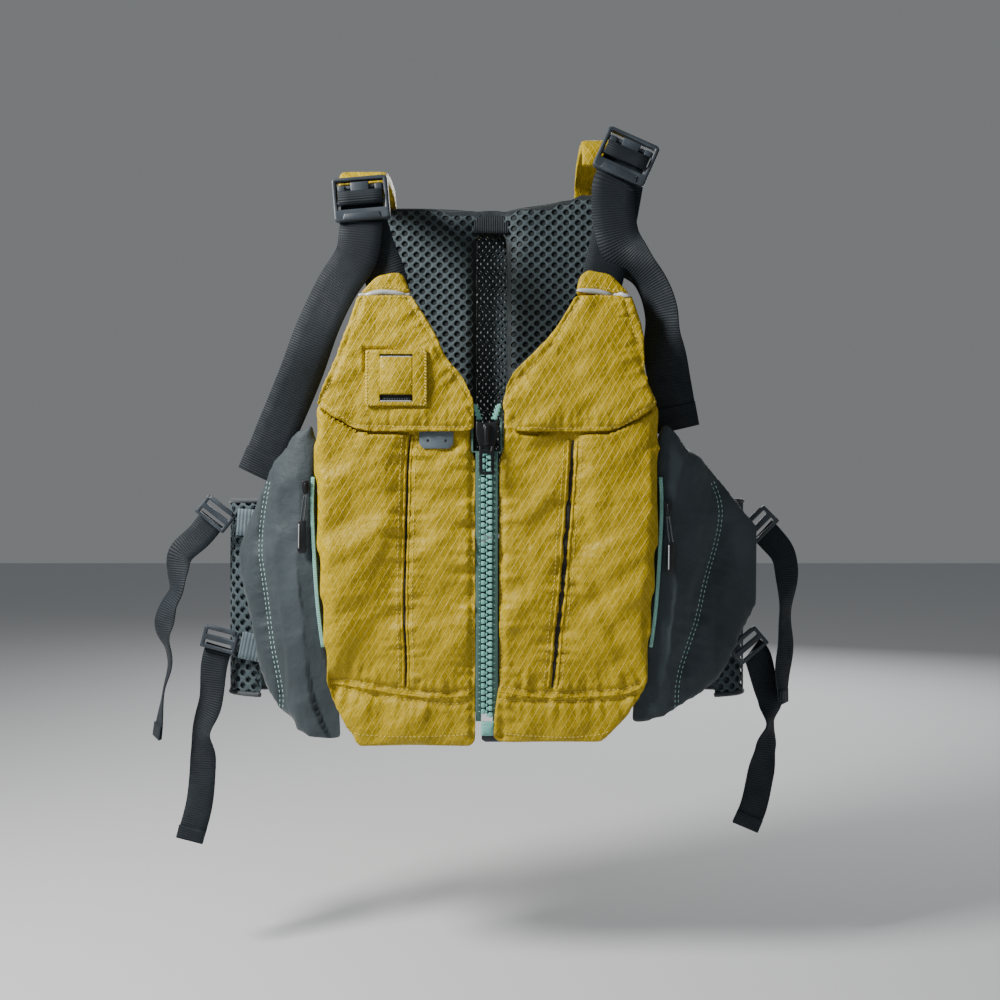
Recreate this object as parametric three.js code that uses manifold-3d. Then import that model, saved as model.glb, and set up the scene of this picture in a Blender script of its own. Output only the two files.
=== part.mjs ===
// Front-zip paddling life jacket, hanging by its shoulder pads. Millimetres, +Z up.
// The origin is on the hang line, midway between front and back. The front faces -Y.
// "Left" is the -X side. u is the distance outward from the front zip on either side.
import * as THREE from "three";
import { mergeVertices } from "three/addons/utils/BufferGeometryUtils.js";
import Module from "manifold-3d";

const wasm = await Module();
wasm.setup();

// ---------- driving dimensions ----------
const CLEAR = 0.3; // gap between pieces that touch
const ZIP_X = 1.5; // the front zip's centre line
const FRONT_Y = -52; // outer face of the front pockets
const BACK_Y = 50; // inner face of the back panel
const HEM_Z = -491; // lower edge of the jacket
const HEM_BAND = 44; // height of the bottom facing
const ARMPIT_Z = -204; // where the arm openings end
const SHOULDER_Z = -110; // the reflective seam across the shoulder
const FOLD_Z = -152; // fold line of the chest flaps
const FLAP_Z = -227; // lower edge of the chest flaps
const SIDE_U = 147; // half width of the front panels at the armpit
const COVER_T = 5.5; // pocket fabric with its lining
const FLAP_T = 4;
const FOAM_T = 22; // front foam
const BACK_FOAM_T = 20;
const LINER_T = 2.6;
const FOAM_INSET = 14; // foam stays this far inside the arm edge
const WEB_WIDE = 38; // shoulder webbing
const WEB_SIDE = 25; // side webbing
const WEB_T = 1.6;
const PAD_WIDE = 42; // padded shoulder strap
const PAD_T = 9;
const TEETH_T = 5;
const TEETH_HALF = 4; // width of one row of zip teeth
const TEETH_GAP = 0.8; // from the zip's centre to each row
const TAPE_U = 12; // outer edge of the zip tape
const SLIDER_HALF = 9.5;
const SLIDER_TALL = 25;
const SLIDER_Z = -230; // centre of the closed slider
const ZIP_FOOT_Z = -474; // lower end of the teeth
const TAB_T = 1;
const BUCKLE_T = 9;
const LOCK_T = 6;
const SIDE_T = 9; // padded side panel
const MESH_T = 3;
const BACK_GAP = 12; // half width of the see-through channel in the back
const BACK_X = 5; // centre line of the back panel
const BACK_TOP_Z = 0; // top corner of the back, left
const BACK_RISE = 15; // top corner of the back, right

// ---------- colours ----------
const mat = (color, roughness = 0.85, metalness = 0) =>
  new THREE.MeshStandardMaterial({ color, roughness, metalness });
const YELLOW = mat(0xc9b04f);
const GREY = mat(0x465057);
const WEBBING = mat(0x1c242b);
const MESH = mat(0x2a343a);
const FOAM = mat(0xd8d8d0);
const MINT = mat(0x82c2b9, 0.5);
const TAPE = mat(0x4f7f76);
const PLASTIC = mat(0x3a424a, 0.45);
const BLACK = mat(0x14181b, 0.35);
const ELASTIC = mat(0x61737b);

// ---------- helpers ----------
const part = new THREE.Group();

function add(name, geometry, material) {
  const mesh = new THREE.Mesh(geometry, material);
  mesh.name = name;
  part.add(mesh);
  return mesh;
}

function solid(geometry) {
  const bare = geometry.index ? geometry.toNonIndexed() : geometry.clone();
  bare.deleteAttribute("normal");
  bare.deleteAttribute("uv");
  const merged = mergeVertices(bare, 1e-3);
  return new wasm.Manifold(
    new wasm.Mesh({
      numProp: 3,
      vertProperties: new Float32Array(merged.attributes.position.array),
      triVerts: new Uint32Array(merged.index.array),
    }),
  );
}

function fromSolid(body) {
  const made = body.getMesh();
  const geometry = new THREE.BufferGeometry();
  const step = made.numProp;
  const places = new Float32Array(made.numVert * 3);
  for (let i = 0; i < made.numVert; i++) {
    places.set(made.vertProperties.subarray(i * step, i * step + 3), i * 3);
  }
  geometry.setAttribute("position", new THREE.BufferAttribute(places, 3));
  geometry.setIndex(new THREE.BufferAttribute(made.triVerts, 1));
  return geometry;
}

const shapeOf = (points) => new THREE.Shape(points.map(([a, b]) => new THREE.Vector2(a, b)));

// An outline in X and Z, given thickness from yFront back to yBack.
function slab(points, yFront, yBack) {
  const shape = points instanceof THREE.Shape ? points : shapeOf(points);
  const geometry = new THREE.ExtrudeGeometry(shape, { depth: yBack - yFront, bevelEnabled: false });
  return geometry.rotateX(Math.PI / 2).translate(0, yBack, 0);
}

// An outline in X and Y, given height from z0 up to z1.
function column(points, z0, z1) {
  const geometry = new THREE.ExtrudeGeometry(shapeOf(points), { depth: z1 - z0, bevelEnabled: false });
  return geometry.translate(0, 0, z0);
}

// An outline in Y and Z, given width from x0 to x1.
function profile(points, x0, x1) {
  const turned = shapeOf(points.map(([y, z]) => [y, z]));
  const geometry = new THREE.ExtrudeGeometry(turned, { depth: x1 - x0, bevelEnabled: false });
  const swap = new THREE.Matrix4().set(0, 0, 1, x0, 1, 0, 0, 0, 0, 1, 0, 0, 0, 0, 0, 1);
  return geometry.applyMatrix4(swap);
}

// A band of even width along a path: the path shifted half the width to each side.
function band(path, width, from = -width / 2) {
  const near = [];
  const far = [];
  path.forEach(([a, b], i) => {
    const [a0, b0] = path[Math.max(i - 1, 0)];
    const [a1, b1] = path[Math.min(i + 1, path.length - 1)];
    const long = Math.hypot(a1 - a0, b1 - b0);
    const side = [-(b1 - b0) / long, (a1 - a0) / long];
    near.push([a + side[0] * from, b + side[1] * from]);
    far.push([a + side[0] * (from + width), b + side[1] * (from + width)]);
  });
  return near.concat(far.reverse());
}

const smooth = (points, steps) =>
  new THREE.CatmullRomCurve3(points.map(([a, b]) => new THREE.Vector3(a, b, 0)), false, "centripetal")
    .getPoints(steps)
    .map((p) => [p.x, p.y]);

// Leans a flat strap in depth: its Y shifts with height between two levels.
function lean(geometry, zTop, zLow, shift) {
  const place = geometry.attributes.position;
  for (let i = 0; i < place.count; i++) {
    const down = THREE.MathUtils.clamp((zTop - place.getZ(i)) / (zTop - zLow), 0, 1);
    place.setY(i, place.getY(i) + shift * down);
  }
  return geometry;
}

const boxAt = (x0, x1, y0, y1, z0, z1) =>
  new THREE.BoxGeometry(x1 - x0, y1 - y0, z1 - z0).translate((x0 + x1) / 2, (y0 + y1) / 2, (z0 + z1) / 2);

// ---------- layers of the front, from the outside in ----------
const COVER_BACK = FRONT_Y + COVER_T;
const FOAM_FRONT = COVER_BACK + CLEAR;
const FOAM_BACK = FOAM_FRONT + FOAM_T;
const LINER_FRONT = FOAM_BACK + CLEAR;
const LINER_BACK = LINER_FRONT + LINER_T;
const FLAP_BACK = FRONT_Y - TAB_T - 2 * CLEAR;
const FLAP_FRONT = FLAP_BACK - FLAP_T;
const COVER_U = TEETH_HALF + TEETH_GAP + 3.5; // inner edge of the pocket fabric
const FOAM_U = TAPE_U + 6;
const HEM_TOP_Z = HEM_Z + HEM_BAND;
const TEETH_FRONT = FRONT_Y - 0.5;
const WEB_Y = FRONT_Y + 11.3; // the short webs lie behind the shoulder tops
const PULL_TALL = 24; // the pull hangs this far below the slider's nose
const POCKET_Y = -47.3; // the side pocket zips lie on the side panels
const SLIDER_LOW = SLIDER_Z - SLIDER_TALL / 2 - 0.8;

// What differs between the two sides, because the jacket hangs a little turned.
const SIDES = {
  left: {
    sign: -1,
    shoulder: [64, 110],
    top: [[96, -95], [90, -92], [75, -90], [71, -93]],
    neckLow: 9.5,
    hem: 112,
    pocketZ: -268,
    webFoot: 84,
    webEnd: [105, -40],
  },
  right: {
    sign: 1,
    shoulder: [76, 123],
    top: [[115, -101], [106, -92], [86, -88], [79, -94]],
    neckLow: 12.5,
    hem: 104,
    pocketZ: -286,
    webFoot: 96,
    webEnd: [118, -2],
  },
};

for (const [side, s] of Object.entries(SIDES)) {
  const X = (u) => ZIP_X + s.sign * u;
  const place = (points) => points.map(([u, z]) => [X(u), z]);
  const [neckU, armU] = s.shoulder;
  const neck = (z0, z1) =>
    smooth([[neckU, SHOULDER_Z], [neckU - 20, -142], [33, -165], [19, -181], [s.neckLow, ARMPIT_Z]], 10)
      .filter(([, z]) => z <= z0 && z >= z1);
  const armCurve = smooth([[armU, SHOULDER_Z], [armU + 10, -140], [SIDE_U - 11, -179], [SIDE_U, ARMPIT_Z]], 8);
  const arm = (z0, z1, inset = 0) =>
    armCurve.filter(([, z]) => z <= z0 && z >= z1).map(([u, z]) => [u - inset, z]);
  const atZ = (curve, z) => {
    const i = Math.max(1, curve.findIndex(([, zz]) => zz <= z));
    const [[u0, z0], [u1, z1]] = [curve[i - 1], curve[i]];
    return u0 + ((u1 - u0) * (z - z0)) / (z1 - z0);
  };
  const neckCurve = neck(0, -999);

  // chest panel above the fold, flap below it
  add(
    `chest_panel_${side}`,
    slab(
      place([
        [atZ(neckCurve, SHOULDER_Z - CLEAR), SHOULDER_Z - CLEAR],
        ...neck(SHOULDER_Z - 1, FOLD_Z + 1),
        [atZ(neckCurve, FOLD_Z + CLEAR), FOLD_Z + CLEAR],
        [atZ(armCurve, FOLD_Z + CLEAR), FOLD_Z + CLEAR],
        ...arm(SHOULDER_Z - 1, FOLD_Z + 1).reverse(),
        [atZ(armCurve, SHOULDER_Z - CLEAR), SHOULDER_Z - CLEAR],
      ]),
      FLAP_FRONT,
      COVER_BACK,
    ),
    YELLOW,
  );
  add(
    `chest_flap_${side}`,
    slab(
      place([
        [atZ(neckCurve, FOLD_Z - CLEAR), FOLD_Z - CLEAR],
        ...neck(FOLD_Z - 1, ARMPIT_Z - 1),
        [s.neckLow + (side === "right" ? 7 : 0), FLAP_Z + 1],
        [neckU, FLAP_Z - 1],
        [SIDE_U - 38, FLAP_Z + 1],
        [SIDE_U - 13, FLAP_Z + 14],
        [SIDE_U - 2, ARMPIT_Z + 1],
        ...arm(FOLD_Z - 1, ARMPIT_Z + 4).reverse(),
        [atZ(armCurve, FOLD_Z - CLEAR), FOLD_Z - CLEAR],
      ]),
      FLAP_FRONT,
      FLAP_BACK,
    ),
    YELLOW,
  );

  // shoulder top, sewn round the short web that carries the buckle
  const seam = SHOULDER_Z + CLEAR;
  const shoulderTop = slab(place([[neckU, seam], [armU, seam], ...s.top]), FRONT_Y - 2, WEB_Y - CLEAR);
  add(`shoulder_top_${side}`, shoulderTop, YELLOW);
  const [endU, endZ] = s.webEnd;
  const half = WEB_WIDE / 2;
  const web = [
    [s.webFoot - half + 6, SHOULDER_Z + 2],
    [s.webFoot + half - 4, SHOULDER_Z + 2],
    [endU + half, endZ],
    [endU - half, endZ],
  ];
  add(`shoulder_web_${side}`, slab(place(web), WEB_Y, WEB_Y + WEB_T), WEBBING);

  // lower pocket panel
  const outer = [
    [SIDE_U, ARMPIT_Z - 4],
    [SIDE_U + 2.5, -240],
    [SIDE_U + 1, -300],
    [SIDE_U - 6, -370],
    [SIDE_U - 14, HEM_TOP_Z],
  ];
  const coverTop = FOLD_Z - 4;
  add(
    `front_cover_${side}`,
    slab(
      place([
        [atZ(neckCurve, coverTop), coverTop],
        ...neck(coverTop - 1, ARMPIT_Z - 1),
        [SLIDER_HALF + 4, ARMPIT_Z - 2],
        [SLIDER_HALF + 4, SLIDER_LOW - 1],
        [COVER_U, SLIDER_LOW - 1],
        [COVER_U, HEM_TOP_Z + CLEAR],
        ...outer.slice().reverse().map(([u, z]) => [u, z === HEM_TOP_Z ? z + CLEAR : z]),
        ...arm(coverTop - 1, ARMPIT_Z + 4).reverse(),
        [atZ(armCurve, coverTop), coverTop],
      ]),
      FRONT_Y,
      COVER_BACK,
    ),
    YELLOW,
  );
  add(
    `hem_band_${side}`,
    slab(
      place([
        [COVER_U, HEM_TOP_Z - CLEAR],
        [COVER_U, HEM_Z + 4],
        [COVER_U + 5, HEM_Z],
        [s.hem - 5, HEM_Z],
        [s.hem + 8, HEM_Z + 14],
        [SIDE_U - 14, HEM_TOP_Z - CLEAR],
      ]),
      FRONT_Y,
      COVER_BACK,
    ),
    YELLOW,
  );

  // foam and liner behind it
  const body = (inset) =>
    place([
      [neckU + inset, SHOULDER_Z - 4],
      [neckU - 16 + inset, -142],
      [34 + inset, -168],
      [FOAM_U, ARMPIT_Z + 2],
      [FOAM_U, HEM_Z + 12 + inset],
      [s.hem - 8, HEM_Z + 12 + inset],
      [SIDE_U - 22 - inset, HEM_TOP_Z],
      [SIDE_U - 14 - inset, -370],
      [SIDE_U - 7 - inset, -300],
      [SIDE_U - 6 - inset, -240],
      [SIDE_U - FOAM_INSET, ARMPIT_Z],
      [armU + 8 - FOAM_INSET, -145],
      [armU - FOAM_INSET + 2, SHOULDER_Z - 4],
    ]);
  const openFront = solid(boxAt(-400, 400, -400, FOAM_FRONT, FOLD_Z - 3, 0));
  add(`front_foam_${side}`, fromSolid(solid(slab(body(0), FOAM_FRONT, FOAM_BACK)).subtract(openFront)), FOAM);
  add(`front_liner_${side}`, slab(body(0), LINER_FRONT, LINER_BACK), MESH);

  // front zip: one row of teeth on one tape
  const tapeBack = TEETH_FRONT + TEETH_T / 2 + 0.6;
  const chainTop = side === "left" ? SLIDER_LOW : SLIDER_LOW - PULL_TALL + 1;
  const teethIn = TEETH_GAP;
  const teethOut = TEETH_GAP + TEETH_HALF;
  add(
    `zip_teeth_${side}`,
    slab(
      place([[teethIn, chainTop], [teethOut, chainTop], [teethOut, ZIP_FOOT_Z], [teethIn, ZIP_FOOT_Z]]),
      TEETH_FRONT,
      TEETH_FRONT + TEETH_T,
    ),
    MINT,
  );
  add(
    `zip_tape_${side}`,
    slab(
      place([
        [teethOut + CLEAR, chainTop + 0.4],
        [COVER_U - CLEAR - 1.4, chainTop + 0.4],
        [COVER_U - CLEAR - 1.4, SLIDER_LOW + 0.4],
        [SLIDER_HALF + 2, SLIDER_LOW + 0.4],
        [SLIDER_HALF + 2, ARMPIT_Z - 4],
        [SLIDER_HALF + 3.6, ARMPIT_Z - 4],
        [SLIDER_HALF + 3.6, SLIDER_LOW - 0.7],
        [COVER_U - CLEAR, SLIDER_LOW - 0.7],
        [COVER_U - CLEAR, ZIP_FOOT_Z],
        [teethOut + CLEAR, ZIP_FOOT_Z],
      ]),
      tapeBack - 1.2,
      tapeBack,
    ),
    TAPE,
  );

  // side pocket zip, sewn on the side panel beside the seam, its slider and its pull
  const zipRun = [[SIDE_U + 7.5, -264], [SIDE_U + 6.5, -300], [SIDE_U, -370], [SIDE_U - 6, -412]];
  add(`pocket_zip_${side}`, slab(place(band(zipRun, 4)), POCKET_Y - 1.5, POCKET_Y), MINT);
  const pullZ = s.pocketZ;
  const pullX = SIDE_U + 8;
  const topY = POCKET_Y - 1.5 - CLEAR;
  const nose = [
    [pullX - 3.5, pullZ],
    [pullX + 3.5, pullZ],
    [pullX + 2.5, pullZ - 12],
    [pullX - 2.5, pullZ - 12],
  ];
  add(`pocket_slider_${side}`, slab(place(nose), topY - 3, topY), BLACK);
  const pullTop = pullZ - 12 - CLEAR;
  const tongue = [
    [pullX - 1.5, pullTop],
    [pullX + 1.5, pullTop],
    [pullX + 3, pullTop - 18],
    [pullX + 7, pullTop - 24],
    [pullX + 7, pullTop - 50],
    [pullX - 1, pullTop - 50],
    [pullX - 2, pullTop - 24],
    [pullX - 1.5, pullTop - 18],
  ];
  add(`pocket_pull_${side}`, slab(place(tongue), topY - 2.5, topY - 0.7), BLACK);
}

// ---------- small pieces of the front ----------
const PATCH_X = -75;
const PATCH_Z = -181.5;
const PATCH_WIDE = 52;
const PATCH_TALL = 47;
const PATCH_T = 3;
const patch = solid(
  boxAt(PATCH_X - PATCH_WIDE / 2, PATCH_X + PATCH_WIDE / 2, FLAP_FRONT - CLEAR - PATCH_T, FLAP_FRONT - CLEAR, PATCH_Z - PATCH_TALL / 2, PATCH_Z + PATCH_TALL / 2),
);
const slot = (z, tall) => solid(boxAt(PATCH_X - 14, PATCH_X + 14, -100, 0, PATCH_Z + z - tall / 2, PATCH_Z + z + tall / 2));
add("lash_patch", fromSolid(patch.subtract(slot(19, 2)).subtract(slot(-17, 6))), YELLOW);

const tabBack = FRONT_Y - CLEAR;
add("lash_tab", slab([[-56, -216], [-27, -216], [-27, -238], [-30, -241], [-53, -241], [-56, -238]], tabBack - TAB_T, tabBack), PLASTIC);
const hemTabFront = COVER_BACK + CLEAR;
add("hem_tab", slab([[-3, HEM_Z + 4], [-3, HEM_Z - 1], [41, HEM_Z - 1.5], [41, HEM_Z + 11], [14, HEM_Z + 11], [14, HEM_Z + 4]], hemTabFront, hemTabFront + 1.4), PLASTIC);
add("zip_box", boxAt(ZIP_X - 5, ZIP_X + 6, TEETH_FRONT - 1, TEETH_FRONT + TEETH_T, ZIP_FOOT_Z - 12, ZIP_FOOT_Z - CLEAR), MINT);

// slider: two plates round the teeth, joined by a thin post between the rows
const plateFront = FRONT_Y - 1.3;
const top = SLIDER_Z + SLIDER_TALL / 2;
const low = SLIDER_Z - SLIDER_TALL / 2;
const plate = [
  [ZIP_X - SLIDER_HALF, top],
  [ZIP_X - SLIDER_HALF, SLIDER_Z],
  [ZIP_X - 5.5, low],
  [ZIP_X + 5.5, low],
  [ZIP_X + SLIDER_HALF, SLIDER_Z],
  [ZIP_X + SLIDER_HALF, top],
];
const backPlate = plate.map(([x, z]) => [ZIP_X + (x - ZIP_X) * 0.72, z]);
const slider = solid(slab(plate, plateFront - 4, plateFront))
  .add(solid(slab(backPlate, COVER_BACK + 1.2, COVER_BACK + 3.4)))
  .add(solid(boxAt(ZIP_X - 0.5, ZIP_X + 0.5, plateFront - 1, COVER_BACK + 2, SLIDER_Z, top - 1)))
  .add(solid(boxAt(ZIP_X - 2.4, ZIP_X + 2.4, plateFront - 8, plateFront - 3, low + 4, top - 4)));
add("main_slider", fromSolid(slider), BLACK);
const pullFront = plateFront - 7.6;
const pull = solid(slab([[-5, low + 3.4], [8, low + 3.4], [8, low - 21], [-5, low - 21]], pullFront, pullFront + 2.6));
const pullHole = solid(slab([[-2, low - 3], [5, low - 3], [5, low - 18], [-2, low - 18]], -100, 0));
const pullNeck = solid(boxAt(ZIP_X - 2.7, ZIP_X + 2.7, -100, 0, low - 0.5, low + 10));
add("main_pull", fromSolid(pull.subtract(pullHole).subtract(pullNeck)), BLACK);

// ---------- back panel ----------
const BACK_LINER_BACK = BACK_Y + LINER_T;
const BACK_FOAM_FRONT = BACK_LINER_BACK + CLEAR;
const BACK_FOAM_BACK = BACK_FOAM_FRONT + BACK_FOAM_T;
const BACK_COVER_FRONT = BACK_FOAM_BACK + CLEAR;
const BACK_COVER_BACK = BACK_COVER_FRONT + LINER_T;
const backEdge = (corner) => [
  [BACK_GAP, BACK_TOP_Z - 8],
  [96, corner - 2],
  [124, corner],
  [116, -40],
  [110, -110],
  [124, -180],
  [158, -238],
  [164, -300],
  [158, -400],
  [150, HEM_Z + 8],
  [BACK_GAP, HEM_Z],
];
const backRight = backEdge(BACK_RISE);
const backLeft = backEdge(BACK_TOP_Z);
const backOutline = [
  ...backRight.map(([u, z]) => [BACK_X + u, z]),
  ...backLeft.slice().reverse().map(([u, z]) => [BACK_X - u, z]),
];
const channelTop = -34;
const channelFoot = -320;
const channel = solid(boxAt(BACK_X - BACK_GAP, BACK_X + BACK_GAP, 0, 200, channelFoot, channelTop));
const backSheet = (y0, y1) => fromSolid(solid(slab(backOutline, y0, y1)).subtract(channel));
add("back_liner", backSheet(BACK_Y, BACK_LINER_BACK), MESH);
add("back_cover", backSheet(BACK_COVER_FRONT, BACK_COVER_BACK), YELLOW);
for (const [sign, edge] of [[-1, backLeft], [1, backRight]]) {
  const inner = edge.map(([u, z]) => [BACK_X + sign * THREE.MathUtils.clamp(u - 6, BACK_GAP + 2, 999), THREE.MathUtils.clamp(z, HEM_Z + 12, -14)]);
  add(sign < 0 ? "back_foam_left" : "back_foam_right", slab(inner, BACK_FOAM_FRONT, BACK_FOAM_BACK), FOAM);
}
add(
  "back_centre_mesh",
  boxAt(BACK_X - BACK_GAP + CLEAR, BACK_X + BACK_GAP - CLEAR, BACK_COVER_FRONT, BACK_COVER_BACK, channelFoot + CLEAR, channelTop - CLEAR),
  MESH,
);
add("back_top_webbing", boxAt(BACK_X - 17, BACK_X + 17, BACK_Y - CLEAR - WEB_T, BACK_Y - CLEAR, -32, -16), WEBBING);

// ---------- shoulder pads, buckles and webbing tails ----------
const SHOULDER = {
  left: {
    x: -107,
    arch: [[66, BACK_TOP_Z + 5.2], [30, 5], [-4, 3.5], [-29, -3], [-35.4, -12], [-36, -24]],
    buckleX: -106.6,
    buckleZ: -26.3,
    turn: 5,
    tail: [[-106.5, -46], [-106, -54], [-111, -76], [-128, -102], [-145, -135], [-162, -176], [-184, -223], [-203, -263]],
    leanTop: -106,
    leanBy: 34,
  },
  right: {
    x: 105,
    arch: [[66, BACK_RISE + 5.2], [36, 27], [-4, 29.5], [-29, 25], [-35.4, 14], [-36, 4]],
    buckleX: 121,
    buckleZ: 9.7,
    turn: -24,
    tail: [[113, -8.8], [110, -18], [111, -44], [118, -68], [140, -94], [151, -120], [154, -148], [160, -178], [170, -222]],
    leanTop: -112,
    leanBy: 24,
  },
};
const BUCKLE_WIDE = 48;
const BUCKLE_TALL = 38;
const BUCKLE_Y = -47;
for (const [side, s] of Object.entries(SHOULDER)) {
  const arch = band(smooth(s.arch, 12), PAD_T);
  add(`shoulder_pad_${side}`, profile(arch, s.x - PAD_WIDE / 2, s.x + PAD_WIDE / 2), YELLOW);

  const frame = solid(boxAt(-BUCKLE_WIDE / 2, BUCKLE_WIDE / 2, 0, BUCKLE_T, -BUCKLE_TALL / 2, BUCKLE_TALL / 2));
  const hole = (z, tall) => solid(boxAt(-BUCKLE_WIDE / 2 + 4.5, BUCKLE_WIDE / 2 - 4.5, -5, 20, z - tall / 2, z + tall / 2));
  const bar = fromSolid(frame.subtract(hole(9.5, 9)).subtract(hole(-6, 6)));
  const buckle = add(`shoulder_buckle_${side}`, bar, PLASTIC);
  buckle.position.set(s.buckleX, BUCKLE_Y - 3, s.buckleZ);
  buckle.rotation.y = (-s.turn * Math.PI) / 180;

  const flat = slab(band(smooth(s.tail, 12), WEB_WIDE), BUCKLE_Y + 1, BUCKLE_Y + 1 + WEB_T);
  add(`shoulder_tail_${side}`, lean(flat, s.leanTop, s.tail.at(-1)[1], s.leanBy), WEBBING);
}

// ---------- side panels, side mesh, elastics, ladder locks and side straps ----------
const plan = (u, y) => [[SIDE_U + 4.6, -46], [SIDE_U + 26, -36], [SIDE_U + 48, -22], [u, y]];
const SIDE = {
  left: {
    sign: -1,
    reach: 220,
    grey: [[SIDE_U + 4, -218], [168, -226], [185, -256], [194, -277], [210, -308], [220, -334], [212, -369], [205, -395], [197, -432], [189, -450], [177, -466], [163, -486], [140, -493], [SIDE_U - 30, -495]],
    meshTo: 243,
    elasticY: 0.9,
    rearY: -6,
    elastic: [[[205, -300], [226.8, -291], [226.8, -318], [214, -317]], [[200, -409], [223.8, -405], [223.8, -426], [200, -432]]],
    strap: [
      [[250, -302], [262, -317], [279, -333], [282, -350], [283, -367], [290, -382], [294, -403], [289, -422], [288, -436], [293, -458], [298, -499]],
      [[244, -417], [249, -436], [252, -468], [259, -488], [261, -500], [259, -522], [262, -559], [271, -594]],
    ],
  },
  right: {
    sign: 1,
    reach: 237,
    grey: [[SIDE_U + 4, -216], [162, -223], [179, -243], [198, -264], [220, -289], [235, -307], [236, -333], [239, -352], [239, -371], [229, -392], [216, -420], [200, -444], [163, -467], [122, -489], [SIDE_U - 38, -492]],
    meshTo: 241,
    elasticY: -5.6,
    rearY: -13,
    elastic: [[[216, -302], [226.8, -295], [226.8, -318], [218, -324]], [[204, -408], [216.8, -402], [216.8, -426], [206, -430]]],
    strap: [
      [[250, -312], [258, -320], [269, -335], [272, -358], [270, -394], [270, -417], [267, -442], [267, -468]],
      [[240, -421], [246, -428], [253, -454], [257, -468], [257, -488], [254, -504], [248, -536], [242, -563], [234, -582]],
    ],
  },
};
const SEAM = 0.8; // the side panel's edge stays this far from the pocket panel
const SIDE_Y = 0.9; // front of the elastics and ladder locks
const STRAP_Y = SIDE_Y + LOCK_T + CLEAR;
const LOCK_WIDE = WEB_SIDE + 7;
const LOCK_TALL = 20;
for (const [side, s] of Object.entries(SIDE)) {
  const X = (u) => ZIP_X + s.sign * u;
  const flip = (points) => points.map(([u, b]) => [X(u), b]);
  const inner = [
    [SIDES[side].hem + 2, HEM_Z - 2],
    [SIDES[side].hem + 8 + SEAM, HEM_Z + 14],
    [SIDE_U - 14 + SEAM, HEM_TOP_Z],
    [SIDE_U - 6 + SEAM, -370],
    [SIDE_U + 1 + SEAM, -300],
    [SIDE_U + 2.5 + SEAM, -240],
  ];
  const front = solid(slab(flip([...s.grey, ...inner]), -60, 30));
  const wrap = smooth([[90, -45.5], ...plan(s.reach, s.rearY)], 12);
  const shell = solid(column(flip(band(wrap, SIDE_T, 0)), HEM_Z - 6, ARMPIT_Z));
  const shape = front.intersect(shell);
  const behindFoam = solid(boxAt(X(0) - SIDE_U + 6, X(0) + SIDE_U - 6, -46, 0, -999, 0));
  add(`side_panel_${side}`, fromSolid(shape.subtract(behindFoam)), GREY);

  const meshPath = smooth(
    [
      [206, 4.9],
      [213, 6.7],
      [227, 14],
      [s.meshTo - 6, 24],
      [s.meshTo - 8, 36],
      [205, BACK_Y - 6],
      [156 + s.sign * BACK_X, BACK_Y - CLEAR - MESH_T / 2],
    ],
    12,
  );
  const meshBand = solid(column(flip(band(meshPath, MESH_T)), -462, -285));
  add(`side_mesh_${side}`, fromSolid(meshBand), MESH);

  s.elastic.forEach((quad, i) => {
    const level = i ? "lower" : "upper";
    add(`elastic_${level}_${side}`, slab(flip(quad), s.elasticY, SIDE_Y + 2), ELASTIC);
    const [start, next] = flip(s.strap[i]);
    const long = Math.hypot(next[0] - start[0], next[1] - start[1]);
    const along = [(next[0] - start[0]) / long, (next[1] - start[1]) / long];
    const half = [LOCK_WIDE / 2, LOCK_TALL / 2];
    const frame = solid(boxAt(-half[0], half[0], 0, LOCK_T, -half[1], half[1]));
    const reach = WEB_SIDE / 2 + 0.4;
    const hole = (at) => solid(boxAt(-reach, reach, -5, 20, at - 2.2, at + 2.2));
    const ladder = frame.subtract(hole(4.6)).subtract(hole(-4.6));
    const lock = add(`ladder_lock_${level}_${side}`, fromSolid(ladder), PLASTIC);
    const back = half[1] - 4;
    lock.position.set(start[0] - along[0] * back, SIDE_Y, start[1] - along[1] * back);
    lock.rotation.y = Math.atan2(-along[0], -along[1]);
    const strap = slab(band(smooth(flip(s.strap[i]), 14), WEB_SIDE), STRAP_Y, STRAP_Y + WEB_T);
    add(`side_strap_${level}_${side}`, i ? strap : lean(strap, -330, -500, -7), WEBBING);
  });
}

export default part;
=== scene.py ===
"""Looks for the paddling life jacket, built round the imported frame.

Lengths are in millimetres until a piece is finished; the frame and the finished pieces are in metres.
"Left" is the -X side. The zipped front faces -Y.
"""

import math

import bmesh
import bpy
from mathutils import Matrix, Vector, noise
from mathutils.bvhtree import BVHTree
from mathutils.kdtree import KDTree


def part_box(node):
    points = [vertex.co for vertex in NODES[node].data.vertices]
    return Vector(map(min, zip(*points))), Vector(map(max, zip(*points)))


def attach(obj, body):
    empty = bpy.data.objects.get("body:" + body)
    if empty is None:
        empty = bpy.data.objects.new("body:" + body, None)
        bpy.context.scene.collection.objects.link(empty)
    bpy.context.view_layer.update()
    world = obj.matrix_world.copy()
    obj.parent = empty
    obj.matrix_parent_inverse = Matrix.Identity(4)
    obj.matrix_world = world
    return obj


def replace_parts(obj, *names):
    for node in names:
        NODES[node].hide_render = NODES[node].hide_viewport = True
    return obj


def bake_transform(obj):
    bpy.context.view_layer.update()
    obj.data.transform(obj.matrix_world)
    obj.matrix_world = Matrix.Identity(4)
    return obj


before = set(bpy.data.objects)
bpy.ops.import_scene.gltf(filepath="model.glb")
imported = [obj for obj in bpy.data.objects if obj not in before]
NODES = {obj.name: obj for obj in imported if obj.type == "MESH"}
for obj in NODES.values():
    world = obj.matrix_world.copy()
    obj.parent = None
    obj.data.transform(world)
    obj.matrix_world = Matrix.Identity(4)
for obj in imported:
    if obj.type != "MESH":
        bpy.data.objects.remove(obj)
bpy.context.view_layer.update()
MM = 0.001
PER_M = 1000
ZIP_X = 1.5
SIDES = (("left", -1), ("right", 1))


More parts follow.
